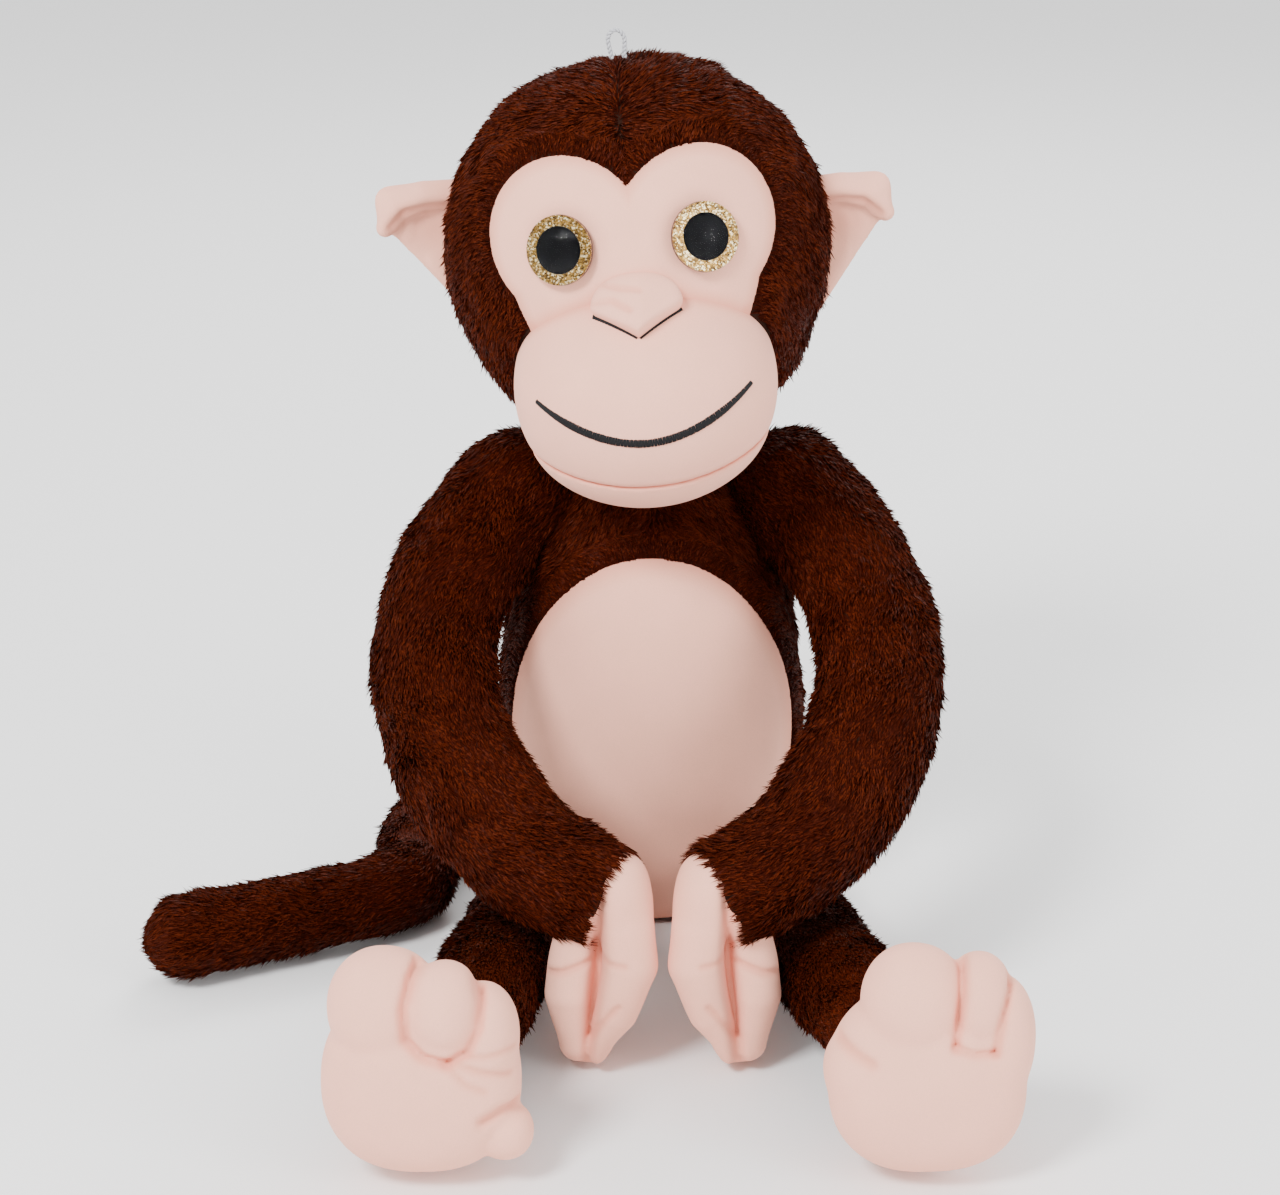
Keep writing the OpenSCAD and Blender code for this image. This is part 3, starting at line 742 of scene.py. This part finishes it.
def belly_outline(p):
    """Distance from the belly panel's oval edge, seen from the front."""
    x, z = p[..., 0] / BELLY_HALF[0], (p[..., 2] - BELLY_MIDDLE) / BELLY_HALF[1]
    return (np.sqrt(x**2 + z**2) - 1) * BELLY_HALF[0]


def belly_field(p):
    outline = belly_outline(p)
    puff = 2.6 * np.clip(-outline / 22, 0, 1) ** 0.6
    shell = torso_field(p) - 0.6 - puff
    wall = cut(shell, torso_field(p) + 5, 0.6)
    front = both(wall, outline - 1.5, 1.5)
    return both(front, p[..., 1] + 8, 1)


def make_torso():
    low, high = (-84, -78, -4), (84, 78, 300)
    base, local = skin("torso_backing", torso_field, low, high, 2.5, BACKING)
    finish_skin(base, [], "torso")
    outline = belly_outline(local)
    bare = (local[:, 1] < 0) & (outline < 0.5)
    down = np.zeros_like(local)
    down[:, 2] = -1
    down[:, 0] = 0.25 * np.sign(local[:, 0])
    near = np.clip(1 - outline / 16, 0, 1)[:, None] * (local[:, 1] < 0)[:, None]
    comb = down * (1 - near) + away_from(belly_outline, local) * near
    under = local[:, 2] < 7
    hidden = local[:, 2] > NECK[2] + 24
    cropped = np.clip(0.55 + outline / 20, 0.6, 1)
    cropped[local[:, 1] > 0] = 1
    for half, sign, nodes in (("front", -1, ["torso_fur_front"]), ("back", 1, ["torso_fur_back"])):
        furry = np.where(bare | under | hidden | (sign * local[:, 1] < 0), -1.0, 1.0)
        grow_fur("torso_fur_" + half, base, comb, furry, nodes, "torso", 100 + sign, cropped=cropped)
    belly, local = skin("belly_panel", belly_field, (-80, -80, -2), (80, -2, 208), 1.6, FACE_CLOTH)
    # painted shade along the belly panel's seam
    note(belly, "crease", np.clip(1 + belly_outline(local) / 5, 0, 1) * 0.55)
    finish_skin(belly, ["belly_panel"], "torso")
    fill("torso_stuffing", lambda p: torso_field(p) + wobble(p, 7), 4, low, high, 4, "torso")


# ---------- head ----------

HEAD_R = 89.6
MUZZLE_AT = np.array([-1.0, -58.0, -53.0])
MUZZLE_HALF = np.array([62.0, 60.0, 57.5])
EYE_LINE = 20.0
EYE_X = 32.0
LOBE_R = 36.0
LOBE_X = 29.0
CHIN_Z = -80.0
CHIN_SAG = 9.0
MOUTH_HALF = 49.5
MOUTH_LOW = -64.0
MOUTH_SAG = 18.0


def head_ball(p):
    skull = egg(p, (0, 2, 0), (HEAD_R + 1.5, HEAD_R - 2, HEAD_R - 1), 2.06)
    folded = np.stack([np.abs(p[..., 0]), p[..., 1], p[..., 2]], axis=-1)
    jowls = ball(folded, (31, 4, -44), 41)
    return join(skull, jowls, 16)


def heart_outline(p):
    """Distance from the edge of the heart-shaped face panel, seen from the front."""
    x, z = np.abs(p[..., 0]), p[..., 2] - EYE_LINE
    lobe = np.hypot(x - LOBE_X, z - 2) - LOBE_R
    cheek = np.maximum((x - 65 - (z - 2) * 11.7 / 32) * 0.94, (x - 53.3 - (z + 30) * 14.3 / 48) * 0.958)
    cheek = np.maximum(np.maximum(cheek, z - 3), -z - 84)
    return np.minimum(lobe, cheek)


def face_field(p):
    outline = heart_outline(p)
    puff = 2.0 * np.clip(-outline / 16, 0, 1) ** 0.7
    skin_d = head_ball(p) - 0.6 - puff
    for side in SIDES.values():
        # the eyes pull the cloth in
        away = np.hypot(p[..., 0] - side * EYE_X, p[..., 2] - EYE_LINE)
        skin_d = skin_d + 2.6 * np.exp(-((away / 19) ** 4))
    bridge = 2.5 * np.exp(-((p[..., 0] / 16) ** 2) - ((p[..., 2] - 8) / 17) ** 2)
    skin_d = skin_d - bridge
    wall = cut(skin_d, head_ball(p) + 6, 0.6)
    front = both(wall, outline - 1.5, 1.2)
    return both(front, p[..., 1] + 5, 1)


def muzzle_whole(p):
    body = egg(p, MUZZLE_AT, MUZZLE_HALF, 2.06)
    return body + 0.35 * wobble(p, 21, 0.7)


def chin_line(p):
    """Height over the seam between muzzle and chin."""
    x = p[..., 0] / 50
    return p[..., 2] - (CHIN_Z - CHIN_SAG * (1 - x**2))


def muzzle_field(p):
    return both(muzzle_whole(p), -chin_line(p), 2.2)


def chin_field(p):
    puff = 1.0 * np.exp(-(((chin_line(p) + 9) / 8) ** 2))
    return both(muzzle_whole(p) - puff, chin_line(p), 2.2)


def mouth_height(x):
    return MOUTH_LOW + MOUTH_SAG * (np.abs(x) / MOUTH_HALF) ** 1.85


def drop(field, points, way):
    """Points moved along a direction until they lie on a field's surface."""
    points = np.array(points, float)
    for _ in range(60):
        points = points + np.array(way, float) * np.maximum(field(points), 0)[:, None] * 0.7
    return points


NOSE_AT = np.array([-0.5, -97.0, -6.0])
NOSE_DOWN = np.array([0, -0.66, -0.75])
NOSE_OUT = np.array([0, -0.75, 0.66])
NOSE_HALF = (21.5, 17.0, 11.0)
NOSE_TIP = 14.5
NOSE_FOLDS = [[(-20, -4), (-11, -3), (-3, 4)], [(-14, -12), (-7, -8), (2, -5)]]


def nose_axes(p):
    """Coordinates on the nose: across it, down it and out of the face."""
    q = p - NOSE_AT
    return np.stack([q[..., 0], q @ NOSE_DOWN, q @ NOSE_OUT], axis=-1)


def nose_field(p):
    """A small folded cushion: a ridge down the middle and a V-shaped lower edge."""
    q = nose_axes(p)
    x, down, out = q[..., 0], q[..., 1], q[..., 2]
    dome = egg(q, (0, 0, 0), NOSE_HALF, 2.5)
    vee = 0.80 * (down - NOSE_TIP) + 0.60 * np.abs(x)
    roof = 0.93 * out + 0.34 * np.abs(x - 2) - 9.0
    d = both(both(dome, roof, 4), vee, 2.2)
    for points in NOSE_FOLDS:
        d = d + crease_on(q[..., :2], out, points, 1.3, 1.3)
    return d


def make_head():
    low, high = (-96, -96, -96), (96, 96, 96)
    base, local = skin("head_backing", head_ball, low, high, 2.5, BACKING, HEAD)
    finish_skin(base, [], "head")
    outline = heart_outline(local)
    front = local[:, 1] < 4
    bare = (front & (outline < 0.6)) | (muzzle_whole(local) < 1.5)
    for side in SIDES.values():
        bare |= egg(local, (side * 89, 2, 14 if side == RIGHT else -1), (9, 7, 27)) < 0
    hidden = local[:, 2] < -84
    x = local[:, 0]
    part = np.exp(-np.abs(x) / 24) * np.clip((local[:, 2] - 10) / 50, 0, 1)
    fall = np.stack([np.sign(x) * (0.15 + 0.35 * part), 0.42 + 0 * x, -1 + 0.4 * part], axis=-1)
    near = np.clip(1 - outline / 15, 0, 1)[:, None] * front[:, None]
    comb = HEAD.way(fall * (1 - near) + away_from(heart_outline, local) * near)
    cropped = np.where(front, np.clip(0.62 + outline / 24, 0.62, 1), 1.0)
    cropped = np.where(np.abs(x) < 4, cropped * 0.8, cropped)
    for name, side in SIDES.items():
        furry = np.where(bare | hidden | (side * x < 0), -1.0, 1.0)
        nodes = ["head_fur_" + name]
        grow_fur("head_fur_" + name, base, comb, furry, nodes, "head", 200 + side, cropped=cropped)

    face, local = skin("face_panel", face_field, (-76, -104, -68), (76, 0, 68), 1.3, FACE_CLOTH, HEAD)
    # painted shade along the face panel's seam and round the muzzle
    crease = np.clip(1 + heart_outline(local) / 4, 0, 1) * 0.5
    crease += 0.5 * np.exp(-((muzzle_whole(local) / 3.5) ** 2))
    note(face, "crease", np.clip(crease, 0, 0.75))
    finish_skin(face, ["face_panel"], "head")

    box = ((-70, -124, -120), (70, 6, 12))
    muzzle, local = skin("muzzle_panel", muzzle_field, *box, 1.4, FACE_CLOTH, HEAD)
    # painted shade along the chin seam and where the muzzle meets the face panel
    crease = np.clip(1 - chin_line(local) / 3.5, 0, 1) * 0.55
    crease += 0.5 * np.exp(-((face_field(local) / 3) ** 2))
    note(muzzle, "crease", np.clip(crease, 0, 0.7))
    finish_skin(muzzle, ["muzzle_panel"], "head")
    chin, local = skin("chin_panel", chin_field, *box, 1.4, FACE_CLOTH, HEAD)
    # painted shade along the chin seam
    note(chin, "crease", np.clip(1 + chin_line(local) / 3.5, 0, 1) * 0.55)
    finish_skin(chin, ["chin_panel"], "head")

    nose, local = skin("nose", nose_field, (-28, -124, -30), (28, -74, 20), 0.7, FACE_CLOTH, HEAD)
    # painted shade in the nose's folds and where it meets the muzzle
    folds = sum(valley(nose_axes(local)[:, :2], points, 0.3, 1.8) for points in NOSE_FOLDS)
    note(nose, "crease", folds + 0.45 * np.exp(-((muzzle_whole(local) / 2.5) ** 2)))
    finish_skin(nose, ["nose"], "head")
    fill("head_stuffing", lambda p: head_ball(p) + wobble(p, 7), 4, low, high, 4, "head", HEAD)


# ---------- embroidery ----------


def stitches(name, line, outwards, widths, pitch, rise, nodes, body):
    """Satin stitch: threads laid side by side across a line, each a small arch."""
    line = np.array(line, float)
    gaps = np.linalg.norm(np.diff(line, axis=0), axis=1)
    run = np.concatenate([[0], np.cumsum(gaps)])
    count = int(run[-1] / pitch)
    at = (np.arange(count) + 0.5) * pitch
    spot = np.stack([np.interp(at, run, line[:, i]) for i in range(3)], axis=-1)
    ways = np.gradient(spot, axis=0)
    ways /= np.linalg.norm(ways, axis=1)[:, None]
    ups = np.stack([np.interp(at, run, np.array(outwards)[:, i]) for i in range(3)], axis=-1)
    ups /= np.linalg.norm(ups, axis=1)[:, None]
    wide = np.interp(at, run, widths)
    shake = np.random.default_rng(5)
    points, faces = [], []
    for centre, way, up, width in zip(spot, ways, ups, wide):
        across = np.cross(way, up)
        slant = 0.35 * pitch * shake.uniform(-1, 1)
        half = width / 2 * shake.uniform(0.93, 1.07)
        arch = [
            centre + (across * half + way * slant) * math.cos(a) + up * (rise * math.sin(a) - 0.25)
            for a in np.linspace(0, math.pi, 7)
        ]
        tube_points, tube_faces = sweep(arch, [0.576 * pitch] * 7, 5)
        offset = sum(len(p) for p in points)
        points.append(tube_points)
        faces += [tuple(i + offset for i in f) for f in tube_faces]
    piece = mesh_object(name, HEAD.out(np.concatenate(points)), faces, THREAD)
    face_outwards(piece)
    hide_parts(*nodes)
    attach(piece, body)


def gradient_of(field, points):
    step = 0.5
    ways = [field(points + step * e) - field(points - step * e) for e in np.eye(3)]
    way = np.stack(ways, axis=-1)
    return way / np.linalg.norm(way, axis=-1)[:, None]


def make_mouth():
    x = np.linspace(-MOUTH_HALF - 1, MOUTH_HALF - 1, 60)
    z = mouth_height(x + 1.0)
    line = drop(muzzle_whole, np.stack([x, np.full_like(x, -150), z], axis=-1), (0, 1, 0))
    ups = gradient_of(muzzle_whole, line)
    ends = np.clip((MOUTH_HALF - np.abs(x + 1)) / 16, 0, 1)
    widths = 1.9 + 2.0 * ends
    stitches("mouth_stitching", line, ups, widths, 0.52, 0.9, ["mouth_stitching"], "head")


def make_nostrils():
    """Stitches under both lower edges of the nose, fattest at the outer end of one."""
    for name, sign, fat, nodes in (
        ("nostril_stitching_right", -1, 3.0, ["nostril_stitching"]),
        ("nostril_stitching_left", 1, 1.7, []),
    ):
        t = np.linspace(0, 1, 14)
        x = sign * (20.5 - 20 * t)
        down = NOSE_TIP - 0.75 * np.abs(x) + 0.4
        start = NOSE_AT + np.outer(x, [1, 0, 0]) + np.outer(down, NOSE_DOWN) + 14 * NOSE_OUT
        line = drop(muzzle_whole, start, -NOSE_OUT)
        ups = np.tile(NOSE_OUT + 0.6 * NOSE_DOWN, (14, 1))
        stitches(name, line, ups, 0.9 + (fat - 0.9) * (1 - t) ** 1.3, 0.5, 0.8, nodes, "head")


# ---------- eyes ----------


def set_material(node, material):
    for holder in frame["nodes"][node].material_slots:
        holder.material = material


def make_eyes():
    flakes = glitter()
    clear = dict(by="Shade", Transmission_Weight=1.0, IOR=1.06)
    dome = two_tone("clear_dome", 0.03, 250, (0.97, 0.98, 0.98), (1.0, 1.0, 1.0), **clear)
    gloss = dict(by="Shade", Specular_IOR_Level=0.05, Coat_Weight=0.06, Coat_Roughness=0.04)
    black = two_tone("black_pupil", 0.3, 300, (0.0025, 0.0025, 0.003), (0.007, 0.007, 0.009), **gloss)
    moulded = dict(bump=(0.15, 0.05), by="Shade")
    brown = ((0.012, 0.006, 0.004), (0.028, 0.014, 0.009))
    stud = two_tone("dark_brown_plastic", 0.3, 1200, *brown, **moulded)
    nylon = two_tone("nylon", 0.45, 1200, (0.70, 0.70, 0.67), (0.82, 0.82, 0.80), **moulded)
    for name in SIDES:
        set_material(name + "_eye_lens", dome)
        set_material(name + "_eye_glitter_ring", flakes)
        set_material(name + "_eye_pupil", black)
        set_material(name + "_eye_stud", stud)
        set_material(name + "_eye_washer", nylon)


# ---------- ears ----------


EAR_RIM = [(-8, -2.5, 18), (10, -3.5, 18.5), (24, -5.0, 14.5), (31, -5.0, 5)]
EAR_FOLD = [(-6, -8, 13), (8, -9, 14), (20, -9, 13), (27, -9, 6)]


def ear_field(p, side):
    """A two-layer ear, hollow in front, with its upper edge folded over."""
    q = p * [side, 1, 1]
    x, y, z = q[..., 0], q[..., 1], q[..., 2]
    outline = both(0.80 * x - 0.60 * z - 22.0, z - 24 - 0.04 * x, 16)
    outline = both(outline, x - 41, 16)
    bow = y + 6.0 * (x / 40) ** 2 - 1.5
    d = both(both(outline, np.abs(bow) - 5.2, 7.0), -14 - x, 2)
    hollow = 4.2 * np.exp(-(((x - 12) / 15) ** 2) - ((z - 0) / 13) ** 2)
    d = d + hollow * np.clip(-bow / 2, 0, 1)
    rim = tube(q, EAR_RIM, [6.0, 6.5, 6.0, 4.0])
    return join(d, rim, 5.0) + valley(q, EAR_FOLD, 2.6, 2.2)


def make_ears():
    for name, side in SIDES.items():
        place = Place(pivot(name + "_ear_bend"), HEAD.turn)
        box = ((-16, -20, -44), (50, 12, 36)) if side == LEFT else ((-50, -20, -44), (16, 12, 36))
        ear, local = skin(name + "_ear", lambda p: ear_field(p, side), *box, 1.1, FACE_CLOTH, place)
        q = local * [side, 1, 1]
        # painted shade in the ear's front hollow, along its fold and at its root
        deep = np.exp(-(((q[:, 0] - 12) / 15) ** 2) - ((q[:, 2] - 3) / 12) ** 2) * (q[:, 1] < 0)
        fold = np.exp(-((from_line(q, EAR_FOLD) / 3.5) ** 2))
        root = np.clip(1 - q[:, 0] / 14, 0, 1)
        note(ear, "crease", np.clip(0.40 * deep + 0.6 * fold + 0.3 * root, 0, 0.8))
        finish_skin(ear, [name + "_ear_front", name + "_ear_back"], name + "_ear")


# ---------- arms and hands ----------

ARM_BOW = 58.5
BOW_HINT = (1.0, 0.15, 0.1)
ARM_R = 28.8
ARM_STEPS = 24


def arm_line(side):
    """Points along the arm's arc, from the shoulder to the wrist."""
    chord = WRIST[side] - SHOULDER[side]
    length = np.linalg.norm(chord)
    ahead = chord / length
    hint = np.array([side * BOW_HINT[0], BOW_HINT[1], BOW_HINT[2]])
    out = hint - ahead * (hint @ ahead)
    out /= np.linalg.norm(out)
    radius = length**2 / (8 * ARM_BOW) + ARM_BOW / 2
    half = math.asin(length / 2 / radius)
    centre = (SHOULDER[side] + WRIST[side]) / 2 - out * (radius - ARM_BOW)
    turns = np.linspace(-half, half, ARM_STEPS)
    return [centre + radius * (math.cos(a) * out + math.sin(a) * ahead) for a in turns]


def along(points, line):
    """The direction of a line where it passes nearest to each point."""
    line = np.array(line)
    best = np.linalg.norm(points[:, None, :] - line[None], axis=2).argmin(1)
    ways = np.gradient(line, axis=0)
    return ways[best] / np.linalg.norm(ways[best], axis=1)[:, None]


def limb(name, line, radii, step, seed, open_end=None, trim=None):
    """A stuffed limb: dark backing, its coat and its filling."""
    line = [np.array(c, float) for c in line]
    stack = np.array(line)
    margin = max(radii) + 8
    low, high = stack.min(0) - margin, stack.max(0) + margin

    def field(p):
        d = tube(p, line, radii) + 0.8 * wobble(p, 13, seed * 0.37)
        return open_end(p, d) if open_end else d

    base, local = skin(name + "_backing", field, low, high, step, BACKING)
    furry = np.ones(len(local)) if trim is None else trim(local)
    furry = np.where(local[:, 2] < 3.5, -1.0, furry)
    grow_fur(name + "_fur", base, along(local, line), furry, [name + "_fur"], name, seed)
    finish_skin(base, [], name)
    fill(name + "_stuffing", lambda p: field(p) + wobble(p, 6), 4, low, high, 3.5, name)


def make_arm(name, side):
    line = arm_line(side)
    shares = np.linspace(0, 1, ARM_STEPS)
    radii = list(np.interp(shares, [0, 0.1, 0.25, 0.7, 1], [31, 29, 28, ARM_R, 24]))
    wrist = WRIST[side]
    ahead = np.array(line[-1]) - np.array(line[-3])
    ahead /= np.linalg.norm(ahead)

    def open_end(p, d):
        end = (p - wrist) @ ahead - 5
        return both(d, end, 6)

    def bare_end(p):
        return np.where((p - wrist) @ ahead > 1.5, -1.0, 1.0)

    limb(name + "_arm", line, radii, 2.5, 300 + side, open_end, bare_end)


INNER_PAD = [(5, 3, -4), (9, 8, 14), (11, 9, 30), (4, 7, 52), (-6, 3, 72)]
OUTER_PAD = [(-7, -2, 2), (-11, 0, 24), (-14, 1, 46), (-11, 0, 70)]
# each crease: its depth, its width and its run, across and down the hand
HAND_CREASES = [
    (4.6, 2.8, [(-1.5, -6), (-2, 30), (-5, 54), (-8, 84)]),
    (1.8, 1.5, [(-28, 36), (-18, 33), (-6, 28)]),
    (1.4, 1.3, [(-6, 64), (1, 54), (7, 47)]),
    (0.9, 1.2, [(-4, 20), (3, 26), (10, 27)]),
]


def hand_field(p, side):
    """A folded hand: two fat pads that meet at the finger tips, with a cupped palm between."""
    x, y, z = p[..., 0] * -side, p[..., 1], p[..., 2]
    q = np.stack([x, y, z], -1)
    inner = tube(q, INNER_PAD, [15, 14.5, 14, 12, 8.5])
    outer = tube(q, OUTER_PAD, [14, 12, 13, 9.5])
    web = tube(q, [(0, -8, 0), (0, -8, 36), (-5, -5, 68)], [16, 14.5, 11])
    d = join(join(inner, outer, 2.2), web, 5.0)
    d = join(d, ball(q, (0, 0, 0), 22), 6)
    for depth, width, points in HAND_CREASES:
        d = d + crease_on(q[..., ::2], y, points, depth, width)
    return d + 0.9 * wobble(q, 8, 1.0)


def make_hand(name, side):
    box = ((-34, -32, -26), (34, 32, 88))
    hand, local = skin(name + "_hand", lambda p: hand_field(p, side), *box, 1.2, FACE_CLOTH, HAND[side])
    q = local * [-side, 1, 1]
    # painted shade in the hand's creases
    crease = tint(q[:, ::2], HAND_CREASES, 1.5) * (q[:, 1] > 0)
    note(hand, "crease", np.clip(0.5 * crease, 0, 0.65))
    finish_skin(hand, [name + "_palm", name + "_hand_back"], name + "_hand")
    inside = (4, *box, 2.5, name + "_hand", HAND[side])
    fill(name + "_hand_stuffing", lambda p: hand_field(p, side), *inside)


# ---------- legs and feet ----------


def make_leg(name, side):
    hip, ankle = HIP[side], ANKLE[side]
    ahead = (ankle - hip) / np.linalg.norm(ankle - hip)
    line = [hip + (ankle - hip) * t for t in np.linspace(0, 1, 12)]
    radii = list(np.linspace(25.2, 22.6, 12))

    def open_end(p, d):
        return both(d, (p - ankle) @ ahead + 6, 5)

    def bare_end(p):
        return np.where((p - ankle) @ ahead > -7.5, -1.0, 1.0)

    limb(name + "_leg", line, radii, 2.5, 400 + side, open_end, bare_end)


PAD_AT = {LEFT: (9.0, 5.0, 26.0), RIGHT: (-9.0, 5.0, 26.0)}
# each toe: its place on the pad (across, up, out) and its half sizes
TOES = {
    RIGHT: [
        ((-15, 29, 2), (25, 26, 22)),
        ((11, 31, 9), (16.5, 20, 18)),
        ((27, 17, 3), (16, 23, 19)),
        ((36, -27, 2), (12.5, 12.5, 14)),
    ],
    LEFT: [
        ((-6, 31, 3), (23, 26, 21)),
        ((21, 32, 3), (15, 21, 19)),
        ((31, 15, 1), (15, 27, 20)),
        ((-32, 1, 1), (13, 16, 17)),
    ],
}
# each crease: its depth, its width and its run over the sole
CREASES = {
    RIGHT: [
        (4.2, 1.9, [(6, 60), (-3, 46), (-6, 34), (-5, 20), (2, 13), (12, 10)]),
        (3.4, 1.7, [(12, 10), (21, 15), (26, 25), (27, 36), (24, 48)]),
        (1.3, 1.3, [(15, 11), (26, 6), (38, 3)]),
        (1.1, 1.2, [(17, 13), (28, 13), (40, 15)]),
        (0.9, 1.2, [(13, 9), (20, 1), (28, -3)]),
        (3.6, 2.2, [(27, -17), (35, -13), (46, -12)]),
    ],
    LEFT: [
        (3.6, 1.6, [(14, 58), (13, 40), (10, 17)]),
        (2.4, 1.4, [(10, 17), (18, 14), (27, 14)]),
        (2.8, 1.6, [(27, 14), (30, 30), (35, 46)]),
        (2.2, 2.0, [(-40, 18), (-31, 12), (-25, 9)]),
    ],
}


def foot_field(p, side):
    q = p - np.array(PAD_AT[side])
    pad = egg(q, (0, -4, 0), (43, 41, 24), 2.35)
    d = join(pad, ball(p, (0, 0, 0), 22.5), 12)
    for at, half in TOES[side]:
        d = join(d, egg(q, at, half, 2.1), 1.8)
    for depth, width, points in CREASES[side]:
        d = d + crease_on(q[..., :2], q[..., 2], points, depth, width)
    d = d + 1.2 * np.exp(-(((q[..., 0]) / 15) ** 2) - ((q[..., 1] + 20) / 13) ** 2)
    return d + 0.5 * wobble(p, 14, side * 1.5)


def make_foot(name, side):
    box = ((-48, -50, -26), (66, 66, 58)) if side == LEFT else ((-66, -50, -26), (48, 66, 58))
    foot, local = skin(name + "_foot", lambda p: foot_field(p, side), *box, 1.5, FACE_CLOTH, FOOT[side])
    q = local - np.array(PAD_AT[side])
    # painted shade in the sole's creases
    crease = tint(q[:, :2], CREASES[side], 1.4) * (q[:, 2] > 0)
    note(foot, "crease", np.clip(0.5 * crease, 0, 0.6))
    finish_skin(foot, [name + "_sole", name + "_foot_top"], name + "_foot")
    inside = (5, *box, 3, name + "_foot", FOOT[side])
    fill(name + "_foot_stuffing", lambda p: foot_field(p, side), *inside)


# ---------- tail ----------

TAIL_LEAN = 18
TAIL_BENDS = ((84.0, 120.0, 1), (35.0, 75.0, -1))
TAIL_END = 98.0


def tail_line():
    heading = math.radians(180 - TAIL_LEAN)
    spot = TAIL_ROOT[:2].copy()
    line = [spot.copy()]
    for radius, degrees, sign in TAIL_BENDS:
        steps = int(degrees // 9)
        turn = math.radians(degrees) / steps
        for _ in range(steps):
            middle = heading + sign * turn / 2
            chord = 2 * radius * math.sin(turn / 2)
            spot = spot + chord * np.array([math.cos(middle), math.sin(middle)])
            heading += sign * turn
            line.append(spot.copy())
    start = spot.copy()
    for share in (0.25, 0.5, 0.75, 1.0):
        line.append(start + share * TAIL_END * np.array([math.cos(heading), math.sin(heading)]))
    return [np.array([x, y, TAIL_ROOT[2]]) for x, y in line]


def make_tail():
    line = tail_line()
    radii = [18.2] * len(line)
    limb("tail", line, radii, 2.2, 500)


# ---------- hanging loop ----------

LOOP_D = 2.4
LOOP_FORWARD = 13.0
CAD_HEAD_R = 93.5
# the cord's route, sideways and up
LOOP_ROUTE = [
    (-3, 0), (-3.2, 3), (-3.7, 6), (-4, 9), (-3.2, 11.5), (-1.7, 13), (0, 13.5),
    (1.7, 13), (3.2, 11.5), (4, 9), (3.7, 6), (3.2, 3), (3, 0),
]


def make_loop():
    """Two plies of cord twisted round each other, sewn into the crown seam."""
    foot = math.sqrt(CAD_HEAD_R**2 - (LOOP_FORWARD - LOOP_D) ** 2) + 0.2
    route = np.array([(x, -LOOP_FORWARD, foot + z) for x, z in LOOP_ROUTE])
    run = np.concatenate([[0], np.cumsum(np.linalg.norm(np.diff(route, axis=0), axis=1))])
    at = np.linspace(0, run[-1], 90)
    line = np.stack([np.interp(at, run, route[:, i]) for i in range(3)], axis=-1)
    for _ in range(6):
        line[1:-1] = (line[:-2] + 2 * line[1:-1] + line[2:]) / 4
    ways = np.gradient(line, axis=0)
    ways /= np.linalg.norm(ways, axis=1)[:, None]
    side = np.array([0.0, 1.0, 0.0])
    other = np.cross(ways, side)
    points, faces = [], []
    for start in (0, math.pi):
        turn = start + at * 2 * math.pi / 4.2
        strand_line = line + 0.55 * (np.cos(turn)[:, None] * side + np.sin(turn)[:, None] * other)
        strand_points, strand_faces = sweep(strand_line, [0.65] * len(line), 8)
        offset = sum(len(p) for p in points)
        points.append(strand_points)
        faces += [tuple(i + offset for i in f) for f in strand_faces]
    paint = two_tone("silver_white_cord", 0.4, 3000, *SILVER, **CORD)
    loop = mesh_object("hang_loop", HEAD.out(np.concatenate(points)), faces, paint)
    face_outwards(loop)
    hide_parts("hang_loop")
    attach(loop, "head")


add_camera()
make_loop()
add_studio()
make_torso()
make_head()
make_mouth()
make_nostrils()
make_eyes()
make_ears()
for name, side in SIDES.items():
    make_arm(name, side)
    make_hand(name, side)
    make_leg(name, side)
    make_foot(name, side)
make_tail()
bpy.data.objects.remove(BLADE)
